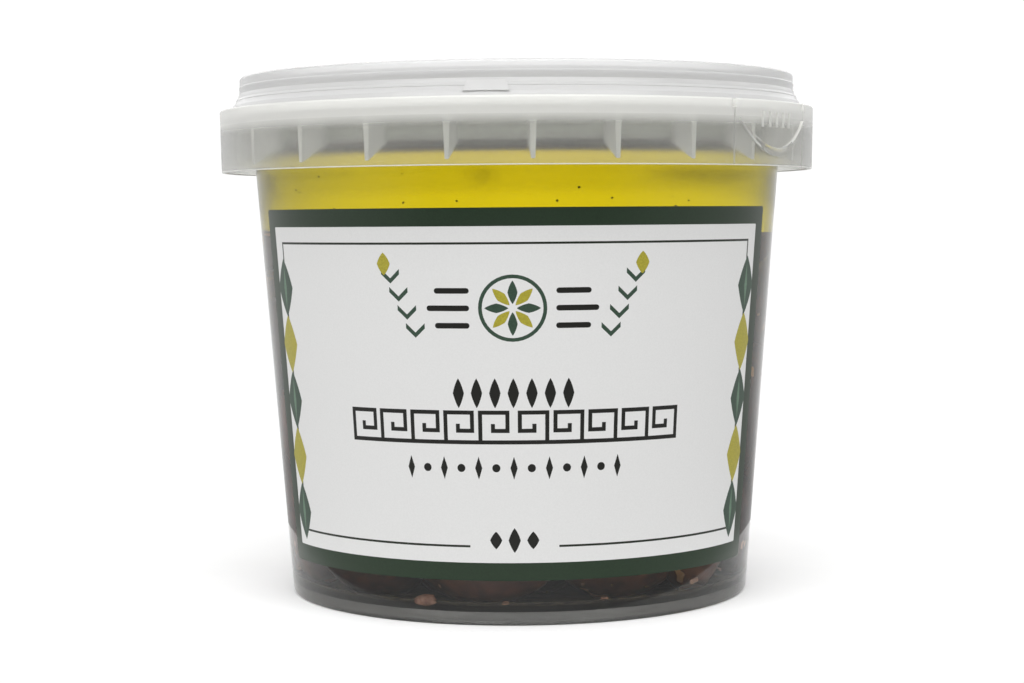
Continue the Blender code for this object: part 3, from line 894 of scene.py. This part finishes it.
def settle(seed, rounds):
    """Let olives sink into the tub and push each other apart. Gives middles, axes and sizes.

    Each olive is a row of five balls that keeps its shape while its balls are pushed.
    """
    draw = np.random.default_rng(seed)
    count = OLIVE_COUNT
    size = draw.uniform(*OLIVE_SIZES, count)
    half = OLIVE_LENGTH / 2.0
    thick = OLIVE_WIDTH / 2.0
    spots = np.array([-0.56, -0.3, 0.0, 0.3, 0.56]) * half
    balls = np.array([0.66, 0.92, 1.0, 0.92, 0.66]) * thick
    # They start in a loose column 26 mm in radius, from 10 mm up
    turn = draw.uniform(0.0, FULL_TURN, count)
    away = np.sqrt(draw.uniform(0.0, 1.0, count)) * 26.0 * MM
    start = np.linspace(10.0 * MM, POUR_TOP, count)
    middle = np.stack([away * np.cos(turn), away * np.sin(turn), start], axis=1)
    axis = draw.normal(size=(count, 3))
    axis /= np.linalg.norm(axis, axis=1, keepdims=True)
    offset = spots[None, :] * size[:, None]
    radius = (balls[None, :] * size[:, None]).ravel()
    owner = np.repeat(np.arange(count), len(spots))
    reach = radius[:, None] + radius[None, :]
    other = owner[:, None] != owner[None, :]
    for step in range(rounds):
        cooling = max(0.0, 1.0 - step / (0.75 * rounds))
        middle[:, 2] -= SINK * cooling
        point = (middle[:, None, :] + offset[:, :, None] * axis[:, None, :]).reshape(-1, 3)
        gap = point[:, None, :] - point[None, :, :]
        far = np.sqrt((gap ** 2).sum(axis=2)) + 1e-9
        deep = np.where(other, np.clip(reach - far, 0.0, None), 0.0)
        push = (gap * (deep / far)[:, :, None]).sum(axis=1) * 0.5
        hits = (deep > 0.0).sum(axis=1).astype(float)
        out = np.hypot(point[:, 0], point[:, 1]) + 1e-9
        over = np.clip(out + radius - inner_radius(point[:, 2]) + SKIN_GAP, 0.0, None)
        push[:, :2] -= (over / out)[:, None] * point[:, :2]
        low = np.clip(FLOOR_TOP + SKIN_GAP + radius - point[:, 2], 0.0, None)
        press = HEAP_TOP + (POUR_TOP - HEAP_TOP) * cooling
        high = np.clip(point[:, 2] + radius - press, 0.0, None)
        push[:, 2] += low - high
        hits += (over > 0.0).astype(float) + (low > 0.0) + (high > 0.0)
        push /= np.maximum(hits, 1.0)[:, None]
        push = push.reshape(count, len(spots), 3)
        met = (hits > 0.0).astype(float).reshape(count, len(spots), 1)
        shift = push.sum(axis=1) / np.maximum(met.sum(axis=1), 1.0)
        arm = offset[:, :, None]
        spin = ((push - shift[:, None, :] * met) * arm).sum(axis=1)
        spin /= (met * arm ** 2).sum(axis=1) + 1e-6
        middle += EAGER * shift
        axis += EAGER * spin
        axis /= np.linalg.norm(axis, axis=1, keepdims=True)
    # What still presses on the wall or the floor is moved clear of it
    point = middle[:, None, :] + offset[:, :, None] * axis[:, None, :]
    ball = radius.reshape(count, len(spots))
    out = np.hypot(point[:, :, 0], point[:, :, 1])
    over = out + ball - inner_radius(point[:, :, 2]) + OLIVE_GAP
    over = np.clip(over.max(axis=1), 0.0, None) / np.hypot(middle[:, 0], middle[:, 1])
    middle[:, :2] -= over[:, None] * middle[:, :2]
    low = FLOOR_TOP + OLIVE_GAP + ball - point[:, :, 2]
    middle[:, 2] += np.clip(low.max(axis=1), 0.0, None)
    return np.round(middle, 5), np.round(axis, 3), np.round(size, 3)


def olive_profile(rows):
    """Half outline of an olive as (radius, along): flower tip, flanks, then into the pit hole."""
    half, wide = OLIVE_LENGTH / 2.0, OLIVE_WIDTH / 2.0
    mouth = -0.93
    points = []
    for row in range(rows):
        share = math.cos(math.acos(mouth) * row / (rows - 1))
        blunt = 1.0 + 0.05 * share
        flat = blunt * (1.0 - abs(share) ** 2.1) ** 0.62
        points.append((flat * wide, share * half))
    # The pit hole, as (share of its mouth's radius, millimetres deep)
    lip, depth = points[-1]
    for shrink, deep in ((0.93, 0.1), (0.86, 0.7), (0.8, 2.2), (0.7, 4.2), (0.4, 5.6), (0.0, 6.0)):
        points.append((lip * shrink, depth + deep * MM))
    return points


def eased(reach, limit):
    """Bend a reach smoothly under its limit over the last half millimetre."""
    ease = 0.5 * MM
    start = limit - ease
    return reach if reach <= start else limit - ease * math.exp((start - reach) / ease)


def fit_inside(spot):
    """Flatten a point of skin softly where it would press on the tub's wall or floor."""
    close = 0.05 * MM
    spot.z = -eased(-spot.z, -FLOOR_TOP - close)
    limit = inner_radius(spot.z) - close
    rise = FLOOR_TOP + FLOOR_FILLET - spot.z
    if rise > 0.0:
        limit -= FLOOR_FILLET - math.sqrt(max(0.0, FLOOR_FILLET ** 2 - rise ** 2))
    out = math.hypot(spot.x, spot.y)
    if out > limit - MM:
        share = eased(out, limit) / out
        spot.x *= share
        spot.y *= share


def olive_heap_mesh(settings):
    """Every olive as one mesh, with its tone and its bare flesh as vertex attributes."""
    sides, rows = 36, 22
    profile = olive_profile(rows)
    draw = np.random.default_rng(SHAPE_SEED)
    verts, faces, tones, flesh = [], [], [], []
    for middle, axis, size in zip(*settle(HEAP_SEED, HEAP_ROUNDS)):
        tone = float(draw.random())
        swell = settings.olive_swell
        bend = float(draw.uniform(-0.9, 0.9)) * MM
        shift = Vector(draw.uniform(-1.0, 1.0, 3).tolist())
        aim = Vector(axis.tolist()).normalized().to_track_quat("Z", "Y").to_matrix()
        base = len(verts)
        for row, (radius, along) in enumerate(profile):
            for side in range(sides):
                angle = FULL_TURN * side / sides
                share = along / (OLIVE_LENGTH / 2.0)
                # Dents are up to 0.75 mm deep, with finer ones of 0.22 mm and long creases of 0.1 mm
                wobble = Vector((math.cos(angle) * 1.3, math.sin(angle) * 1.3, share * 1.6)) + shift * 7.0
                dents = noise.noise(wobble) * 0.75 * MM + noise.noise(wobble * 3.1) * 0.22 * MM
                crease = noise.noise(Vector((angle * 4.0, share * 1.2, tone * 9.0))) * 0.1 * MM
                reach = radius if row >= rows else radius + (dents + crease) * min(1.0, radius / (3.0 * MM))
                spot = Vector((
                    reach * swell * math.cos(angle) + bend * (1.0 - share * share),
                    reach * swell * math.sin(angle),
                    along * swell,
                ))
                spot = Vector(middle.tolist()) + aim @ (spot * float(size))
                fit_inside(spot)
                verts.append(spot)
                tones.append(tone)
                flesh.append(1.0 if row >= rows else 0.0)
        for row in range(len(profile) - 1):
            for side in range(sides):
                after = (side + 1) % sides
                near, far = base + row * sides, base + (row + 1) * sides
                faces.append((near + side, far + side, far + after, near + after))
    mesh = bpy.data.meshes.new("olive_heap")
    mesh.from_pydata([tuple(spot) for spot in verts], [], faces)
    for name, values in (("tone", tones), ("flesh", flesh)):
        layer = mesh.attributes.new(name, "FLOAT", "POINT")
        layer.data.foreach_set("value", values)
    bm = bmesh.new()
    bm.from_mesh(mesh)
    bmesh.ops.remove_doubles(bm, verts=bm.verts, dist=0.002 * MM)
    bmesh.ops.recalc_face_normals(bm, faces=bm.faces)
    bm.to_mesh(mesh)
    bm.free()
    mesh.shade_smooth()
    return mesh


def olive_skin(settings):
    """Cured black olive: taut purple-brown skin, mottled and finely creased, pale where it is torn."""
    made, tree = new_finish("cured olive skin")
    place = add(tree, "TexCoord").outputs["Object"]
    tone = add(tree, "Attribute", attribute_name="tone")
    flesh = add(tree, "Attribute", attribute_name="flesh")
    # Mottling is about 3.5 mm across
    mottle = add(
        tree, "TexNoise", {"Vector": place, "Scale": 1.0 / (3.5 * MM), "Detail": 5.0, "Roughness": 0.6},
    )
    mixed = add(tree, "Math", {0: tone.outputs["Fac"], 1: 0.55}, operation="MULTIPLY")
    blend = add(tree, "Math", {0: mottle, 1: 0.9, 2: mixed}, operation="MULTIPLY_ADD")
    skin = add(tree, "ValToRGB", {"Fac": blend})
    skins = (settings.dark_skin, settings.plum_skin, settings.red_skin)
    set_stops(skin, [(place, (*colour, 1.0)) for place, colour in zip((0.3, 0.68, 1.0), skins)])
    # Torn flecks of skin, 2 to 4 mm long, show the flesh
    fleck = add(tree, "TexNoise", {"Vector": place, "Scale": 1.0 / (5.5 * MM), "Detail": 2.5})
    torn = add(tree, "MapRange", {"Value": fleck, "From Min": 0.68, "From Max": 0.7})
    bare = add(tree, "Math", {0: torn, 1: flesh.outputs["Fac"]}, operation="MAXIMUM")
    colour = add(tree, "Mix", {"Factor": bare, 6: skin, 7: (*settings.flesh, 1.0)}, data_type="RGBA")
    # Creases are about 1.8 mm apart
    crease = add(
        tree, "TexNoise", {"Vector": place, "Scale": 1.0 / (1.8 * MM), "Detail": 2.0, "Distortion": 0.8},
    )
    bump = add(tree, "Bump", {"Height": crease, "Strength": 0.5, "Distance": 0.12 * MM})
    shader = add(
        tree, "BsdfPrincipled",
        {
            "Base Color": colour.outputs[2],
            "Roughness": 0.38,
            "IOR": 1.45,
            "Specular IOR Level": 0.25,
            "Normal": bump,
        },
    )
    add(tree, "OutputMaterial", {"Surface": shader})
    return made


# Oil and what floats in it


def oil_profile():
    """The oil from the axis at its level, up into the wall, down and back along the floor."""
    start = inner_radius(WET_TOP) - OIL_REACH
    profile = [(0.0, OIL_LEVEL), (start, OIL_LEVEL)]
    for step in range(1, 11):
        share = step / 10.0
        profile.append((start + OIL_REACH * share, OIL_LEVEL + OIL_CLIMB * share ** 3))
    profile.append((inner_radius(WET_TOP) + OIL_BITE, WET_TOP))
    middle = (inner_radius(FLOOR_TOP) - FLOOR_FILLET, FLOOR_TOP + FLOOR_FILLET)
    profile += arc(middle, FLOOR_FILLET + OIL_BITE, 0, -90, 8)
    profile.append((0.0, FLOOR_TOP - OIL_BITE))
    return profile


def golden_oil(settings):
    """Olive oil: clear, bending light like glass, and yellow because it takes out the blue."""
    made, tree = new_finish("olive oil")
    # The free surface bends light, with an IOR of 1.47. At the wall the plastic has bent it already.
    place = add(tree, "TexCoord").outputs["Object"]
    parts = add(tree, "SeparateXYZ", {"Vector": place})
    free = add(tree, "Math", {0: parts.outputs["Z"], 1: OIL_LEVEL - 0.02 * MM}, operation="GREATER_THAN")
    bend = add(tree, "Math", {0: free, 1: 0.47, 2: 1.0}, operation="MULTIPLY_ADD")
    shader = add(
        tree, "BsdfPrincipled",
        {
            "Base Color": (1.0, 1.0, 1.0, 1.0),
            "Roughness": 0.0,
            "IOR": bend,
            "Transmission Weight": 1.0,
        },
    )
    depth = add(
        tree, "VolumeAbsorption", {"Color": (*settings.oil_colour, 1.0), "Density": settings.oil_density},
    )
    add(tree, "OutputMaterial", {"Surface": shader, "Volume": depth})
    return made


def crumb_finish(name, dark, light):
    """Crumbs of dried herb or of torn flesh: matt in the oil, and patchy over a millimetre or so."""
    made, tree = new_finish(name)
    place = add(tree, "TexCoord").outputs["Object"]
    patch = add(tree, "TexNoise", {"Vector": place, "Scale": 1.0 / (1.5 * MM), "Detail": 4.0})
    tint = add(tree, "ValToRGB", {"Fac": patch})
    set_stops(tint, ((0.35, linear(dark)), (0.65, linear(light))))
    bump = add(tree, "Bump", {"Height": patch, "Strength": 0.4, "Distance": 0.1 * MM})
    shader = add(tree, "BsdfPrincipled", {"Base Color": tint, "Roughness": 0.7, "Normal": bump})
    add(tree, "OutputMaterial", {"Surface": shader})
    return made


def chip_blocks(bm):
    """Torn chips of olive flesh on the floor's edge."""
    for place, (degrees, height, size) in enumerate(CHIPS):
        turn, up = math.radians(degrees), height * MM
        radius = inner_radius(up) - 0.75 * MM
        made = bmesh.ops.create_icosphere(bm, subdivisions=3, radius=1.0)
        side, back = around(turn + math.pi / 2.0, 1.0, 0.0), around(turn, 1.0, 0.0)
        for vert in made["verts"]:
            swell = 1.0 + 0.35 * noise.noise(vert.co * 1.4 + Vector((place * 3.0, 0.0, 0.0)))
            lie = vert.co * swell * size * MM
            vert.co = around(turn, radius, up) + side * lie.x + back * lie.y * 0.3
            vert.co.z += lie.z * 0.45 + lie.x * 0.1
        for face in {face for vert in made["verts"] for face in vert.link_faces}:
            face.material_index = 1
            face.smooth = True


def sediment(bm, rows=26, sides=144):
    """A thin lumpy bed of fine crumbs that has settled on the floor and into its fillet."""
    flat = inner_radius(FLOOR_TOP) - FLOOR_FILLET
    edge = flat + 0.8 * FLOOR_FILLET
    shells = []
    for top in (True, False):
        shell = [[bm.verts.new((0.0, 0.0, FLOOR_TOP + (0.5 if top else 0.05) * MM))] * sides]
        for row in range(1, rows + 1):
            out = edge * (row / rows) ** 0.8
            rise = FLOOR_FILLET - math.sqrt(FLOOR_FILLET ** 2 - max(0.0, out - flat) ** 2)
            ring = []
            for side in range(sides):
                spot = around(FULL_TURN * side / sides, out, FLOOR_TOP + rise + 0.05 * MM)
                if top:
                    lumps = 0.5 + 0.5 * noise.noise(spot / (4.0 * MM)) + 0.25 * noise.noise(spot / (1.1 * MM))
                    spot.z += max(0.12, 0.75 * lumps) * MM if row < rows else 0.03 * MM
                ring.append(bm.verts.new(spot))
            shell.append(ring)
        shells.append(shell)
    for shell in shells:
        for inner, outer in zip(shell, shell[1:]):
            for side in range(sides):
                after = (side + 1) % sides
                ring = [inner[side], outer[side], outer[after], inner[after]]
                ring = ring[:3] if inner[side] is inner[after] else ring
                face = bm.faces.new(ring if shell is shells[0] else reversed(ring))
                face.material_index = 2
                face.smooth = True
    for side in range(sides):
        after = (side + 1) % sides
        rim = [shells[0][-1][side], shells[1][-1][side], shells[1][-1][after], shells[0][-1][after]]
        bm.faces.new(rim).material_index = 2


def herb_mesh(count):
    """Crumbs in the clear layer of oil and along the floor's edge, chips of flesh and the settled bed."""
    draw = np.random.default_rng(CRUMB_SEED)
    bm = bmesh.new()
    for number in range(count):
        turn = float(draw.uniform(-math.pi, math.pi))
        if number % 3:
            height = float(draw.uniform(*CRUMB_LAYER)) * MM
        else:
            height = FLOOR_TOP + float(draw.uniform(*CRUMB_BED)) * MM
        spread = float(draw.uniform(*CRUMB_SPREAD)) * MM
        size = float(draw.uniform(*CRUMB_SIZE)) * MM
        radius = inner_radius(height) - spread - (1.0 * MM if height < 5.0 * MM else 0.0)
        made = bmesh.ops.create_icosphere(bm, subdivisions=1, radius=size)
        aim = Matrix.Rotation(float(draw.uniform(0.0, math.pi)), 3, Vector((1.0, 0.4, 0.2)))
        stretch = Vector((1.0, float(draw.uniform(0.4, 1.0)), float(draw.uniform(0.3, 0.7))))
        for vert in made["verts"]:
            flat = Vector([a * b for a, b in zip(vert.co, stretch)])
            vert.co = around(turn, radius, height) + aim @ flat
    chip_blocks(bm)
    sediment(bm)
    return mesh_from("herb_crumbs", bm)


# What a user can change


ColourProperty = partial(FloatVectorProperty, subtype="COLOR", min=0.0, max=1.0)


class TubSettings(bpy.types.PropertyGroup):
    """Finish of the clear and frosted mouldings."""

    sides: IntProperty(name="Sides", description="Flats round the tub and lid", default=192, min=32)
    clear_tint: ColourProperty(
        name="Clear tint", description="Colour of the clear wall", default=linear("#fbfcf8")[:3],
    )
    clear_roughness: FloatProperty(
        name="Clear roughness", description="How much the clear wall blurs", default=0.03, min=0.0, max=1.0
    )
    haze: FloatProperty(
        name="Haze", description="Share of light that the clear wall scatters", default=0.004,
        min=0.0, max=1.0,
    )
    frost_tint: ColourProperty(
        name="Frost tint", description="Colour of the frosted ring", default=linear("#fafaf6")[:3],
    )
    lid_tint: ColourProperty(
        name="Lid tint", description="Colour of the frosted lid", default=linear("#fafafa")[:3],
    )


class OliveSettings(bpy.types.PropertyGroup):
    """Shape and colours of the olives."""

    olive_swell: FloatProperty(
        name="Swell", description="Size of each olive beside its solid", default=1.09, min=0.9, max=1.1
    )
    dark_skin: ColourProperty(name="Dark skin", description="Darkest skin", default=linear("#1e1615")[:3])
    plum_skin: ColourProperty(name="Plum skin", description="Usual skin", default=linear("#402a28")[:3])
    red_skin: ColourProperty(name="Red skin", description="Reddest skin", default=linear("#6c4337")[:3])
    flesh: ColourProperty(
        name="Flesh", description="Flesh in the pit hole and where skin is torn",
        default=linear("#b88e78")[:3],
    )


class OilSettings(bpy.types.PropertyGroup):
    """Colour and depth of the oil."""

    oil_colour: ColourProperty(
        name="Oil colour", description="What the oil lets through", default=(0.969, 0.93, 0.0),
    )
    oil_density: FloatProperty(
        name="Oil density", description="Absorption per metre", default=80.0, min=0.0
    )
    crumbs: IntProperty(name="Crumbs", description="Specks of herb in the oil", default=70, min=0)


class StageSettings(bpy.types.PropertyGroup):
    """Studio light and camera."""

    top_light: FloatProperty(name="Top light", description="Strength of the top light", default=1.0, min=0.0)
    key_light: FloatProperty(
        name="Key light", description="Strength of the light over the camera", default=3.5, min=0.0
    )
    camera_distance: FloatProperty(
        name="Camera distance", description="From the tub's axis", default=0.3524, unit="LENGTH"
    )
    camera_height: FloatProperty(
        name="Camera height", description="Over the table", default=0.0614, unit="LENGTH"
    )


# One operator for each group of pieces


def stand_in(piece, node):
    """Fix a piece to the tub's body, in place of its CAD node."""
    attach(piece, "root")
    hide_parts(node)


class OLIVETUB_OT_tub(bpy.types.Operator):
    """Build the clear tub with its frosted tamper ring"""

    bl_idname = "olive_tub.tub"
    bl_label = "Tub"

    def execute(self, context):
        settings = context.scene.olive_tub
        blank = turned("tub_blank", tub_profile(), settings.sides)
        # Width, bottom and inner radius of the cuts beside the tear tab
        slot = (TAB_SLOT, FLANGE_TOP + EMBED, ring_inner(RING_TOP) - EMBED)
        groove = (GROOVE_WIDTH, RING_BOTTOM - EMBED, RING_RADIUS - RING_DRAUGHT - GROOVE_DEPTH)
        tools = [
            ("UNION", gusset_blocks()),
            ("DIFFERENCE", tab_cutters("tab_slots", *slot)),
            ("DIFFERENCE", tab_cutters("tab_grooves", *groove)),
            ("UNION", tab_smile()),
            ("UNION", grip_bars()),
        ]
        mesh = cut_and_join(blank, tools, "tub_shell", 28.0)
        tint, frost = settings.clear_tint, settings.frost_tint
        piece = link_mesh(
            "tub_shell", mesh,
            clear_moulding("clear polypropylene", tint, settings.clear_roughness, settings.haze, misted=0.18),
            frosted_moulding(
                "frosted polypropylene ring", frost, roughness=0.26, milk=0.13, turning=1.0, rim_milk=0.62
            ),
            wetted_face(),
            frosted_moulding("thick frosted polypropylene", frost, roughness=0.6, milk=0.2),
            smeared_shaded_face(),
            # The underside's dark grey tint is painted shade under the tub
            clear_moulding(
                "polypropylene underside, painted shade", linear("#6c6a67")[:3], roughness=0.25, haze=0.1
            ),
            frosted_moulding("milky polypropylene gusset", frost, roughness=0.5, milk=0.9),
            frosted_moulding("backed frosted polypropylene", frost, roughness=0.26, milk=0.6, turning=1.0),
        )
        for face in mesh.polygons:
            face.material_index = tub_face(face.center, face.normal)
        stand_in(piece, "tub")
        return {"FINISHED"}


class OLIVETUB_OT_lid(bpy.types.Operator):
    """Build the frosted snap lid"""

    bl_idname = "olive_tub.lid"
    bl_label = "Lid"

    def execute(self, context):
        settings = context.scene.olive_tub
        blank = turned("lid_blank", lid_profile(), settings.sides)
        mesh = cut_and_join(blank, [("UNION", lid_lug())], "snap_lid", 28.0)
        tint = settings.lid_tint
        piece = link_mesh(
            "snap_lid", mesh,
            frosted_moulding(
                "frosted polypropylene lid", tint, roughness=0.22, milk=0.5, relief=0.012 * MM, turning=2.0
            ),
            frosted_moulding("inner face of the lid", tint, roughness=0.4, milk=0.1, relief=0.02 * MM),
        )
        for face in mesh.polygons:
            face.material_index = lid_face(face.center, face.normal)
        stand_in(piece, "lid")
        return {"FINISHED"}


class OLIVETUB_OT_label(bpy.types.Operator):
    """Build the wrapped label with its plain print"""

    bl_idname = "olive_tub.label"
    bl_label = "Label"

    def execute(self, context):
        mesh = label_mesh(INKS)
        films = [printed_film(name, colour) for name, colour in INKS.items()]
        piece = link_mesh("wrap_label", mesh, *films)
        stand_in(piece, "label")
        return {"FINISHED"}


class OLIVETUB_OT_olives(bpy.types.Operator):
    """Build the heap of pitted olives"""

    bl_idname = "olive_tub.olives"
    bl_label = "Olives"

    def execute(self, context):
        settings = context.scene.olive_heap
        piece = link_mesh("olive_heap", olive_heap_mesh(settings), olive_skin(settings))
        stand_in(piece, "olives")
        return {"FINISHED"}


class OLIVETUB_OT_oil(bpy.types.Operator):
    """Fill the tub with oil and its herb crumbs"""

    bl_idname = "olive_tub.oil"
    bl_label = "Oil"

    def execute(self, context):
        settings = context.scene.olive_oil
        blank = turned("oil_blank", oil_profile(), context.scene.olive_tub.sides)
        mesh = cut_and_join(blank, [], "oil_fill", 40.0)
        piece = link_mesh("oil_fill", mesh, golden_oil(settings))
        stand_in(piece, "oil")
        crumbs = link_mesh(
            "herb_crumbs", herb_mesh(settings.crumbs),
            crumb_finish("dried herb crumb", "#2a2413", "#5c4a22"),
            crumb_finish("torn olive flesh", "#7d5546", "#b48a76"),
            crumb_finish("settled crumbs", "#2b2620", "#4c4334"),
        )
        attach(crumbs, "root")
        return {"FINISHED"}


class OLIVETUB_OT_stage(bpy.types.Operator):
    """Build the floor, the studio light and the camera"""

    bl_idname = "olive_tub.stage"
    bl_label = "Stage"

    def execute(self, context):
        settings = context.scene.olive_stage
        scene = context.scene
        scene.view_settings.view_transform = "Standard"
        make_floor()
        make_studio(scene, settings)
        make_camera(scene, settings)
        return {"FINISHED"}


def make_floor():
    """A disc of white card under the tub, a little behind its middle."""
    bm = bmesh.new()
    shift = Matrix.Translation((0.0, FLOOR_SHIFT, 0.0))
    bmesh.ops.create_circle(bm, cap_ends=True, segments=128, radius=FLOOR_RADIUS, matrix=shift)
    made, tree = new_finish("white studio card")
    place = add(tree, "TexCoord").outputs["Object"]
    fibre = add(tree, "TexNoise", {"Vector": place, "Scale": 1.0 / (20.0 * MM)})
    tint = add(tree, "ValToRGB", {"Fac": fibre})
    set_stops(tint, ((0.0, linear("#f4f4f4")), (1.0, linear("#f8f8f8"))))
    shader = add(tree, "BsdfPrincipled", {"Base Color": tint, "Roughness": 0.9})
    add(tree, "OutputMaterial", {"Surface": shader})
    floor = link_mesh("studio_floor", mesh_from("studio_floor", bm), made)


def make_studio(scene, settings):
    """A white room that is darker on the camera's side, and a large softbox overhead."""
    world = bpy.data.worlds.new("white studio")
    scene.world = world
    world.use_nodes = True
    tree = world.node_tree
    tree.nodes.clear()
    way = add(tree, "TexCoord")
    parts = add(tree, "SeparateXYZ", {"Vector": way.outputs["Generated"]})
    side = add(tree, "Math", {0: parts.outputs["X"]}, operation="ABSOLUTE")
    front = add(tree, "Math", {0: parts.outputs["Y"], 1: -1.0}, operation="MULTIPLY")
    angle = add(tree, "Math", {0: side, 1: front}, operation="ARCTAN2")
    share = add(tree, "Math", {0: angle, 1: math.pi}, operation="DIVIDE")
    room = add(tree, "ValToRGB", {"Fac": share})
    set_stops(room, [(place, (*[strength / BRIGHTEST] * 3, 1.0)) for place, strength in ROUND_THE_ROOM])
    level = room
    for axis, start, end, first, last, join in ROOM_FADES:
        fade = add(
            tree, "MapRange",
            {"Value": parts.outputs[axis], "From Min": start, "From Max": end,
             "To Min": first, "To Max": last},
            interpolation_type="SMOOTHSTEP",
        )
        level = add(tree, "Math", {0: level, 1: fade}, operation=join)
    # The lights overhead: the softbox over the camera and the one over the tub
    up = add(
        tree, "MapRange",
        {"Value": parts.outputs["Z"], "From Min": 0.4, "From Max": 0.52}, interpolation_type="SMOOTHSTEP",
    )
    over = add(
        tree, "MapRange",
        {"Value": parts.outputs["Y"], "From Min": -0.45, "From Max": -0.3,
         "To Min": settings.key_light, "To Max": settings.top_light},
        interpolation_type="SMOOTHSTEP",
    )
    light = add(tree, "Mix", {"Factor": up, 2: level, 3: over})
    # The backdrop itself is seen as plain white
    path = add(tree, "LightPath")
    seen = add(tree, "Mix", {"Factor": path.outputs["Is Camera Ray"], 2: light, 3: SEEN_BACKDROP})
    sky = add(tree, "Background", {"Color": (1.0, 1.0, 1.0, 1.0), "Strength": seen})
    add(tree, "OutputWorld", {"Surface": sky})


def make_camera(scene, settings):
    """The photograph's view: a 74 mm lens a little below the lid, looking slightly down."""
    data = bpy.data.cameras.new("camera")
    data.sensor_width = 36.0
    data.lens = LENS_MM
    data.clip_start = 0.01
    data.clip_end = 50.0
    camera = bpy.data.objects.new("camera", data)
    camera.location = (CAMERA_SIDE, -settings.camera_distance, settings.camera_height)
    look = Matrix.Rotation(math.pi / 2.0 - CAMERA_DOWN, 4, "X") @ Matrix.Rotation(CAMERA_ROLL, 4, "Z")
    camera.rotation_euler = look.to_euler()
    scene.collection.objects.link(camera)
    scene.camera = camera


class OLIVETUB_PT_panel(bpy.types.Panel):
    """Lists the steps that build the tub"""

    bl_label = "Olive Tub"
    bl_idname = "OLIVETUB_PT_panel"
    bl_space_type = "VIEW_3D"
    bl_region_type = "UI"
    bl_category = "Olive Tub"

    def draw(self, context):
        for name in STEPS:
            self.layout.operator("olive_tub." + name)
        for group, kind in GROUPS.items():
            settings = getattr(context.scene, group)
            for name in kind.__annotations__:
                self.layout.prop(settings, name)


STEPS = ("tub", "lid", "label", "olives", "oil", "stage")
GROUPS = {
    "olive_tub": TubSettings,
    "olive_heap": OliveSettings,
    "olive_oil": OilSettings,
    "olive_stage": StageSettings,
}
CLASSES = (
    TubSettings, OliveSettings, OilSettings, StageSettings,
    OLIVETUB_OT_tub, OLIVETUB_OT_lid, OLIVETUB_OT_label, OLIVETUB_OT_olives,
    OLIVETUB_OT_oil, OLIVETUB_OT_stage, OLIVETUB_PT_panel,
)


def register():
    """Register the classes and put the settings on the scene."""
    for kind in CLASSES:
        bpy.utils.register_class(kind)
    for group, kind in GROUPS.items():
        setattr(bpy.types.Scene, group, PointerProperty(type=kind))


def unregister():
    """Take the settings and the classes away again."""
    for group in GROUPS:
        delattr(bpy.types.Scene, group)
    for kind in reversed(CLASSES):
        bpy.utils.unregister_class(kind)


def main():
    """Build every piece in order."""
    register()
    for step in STEPS:
        getattr(bpy.ops.olive_tub, step)()


if __name__ == "__main__":
    main()
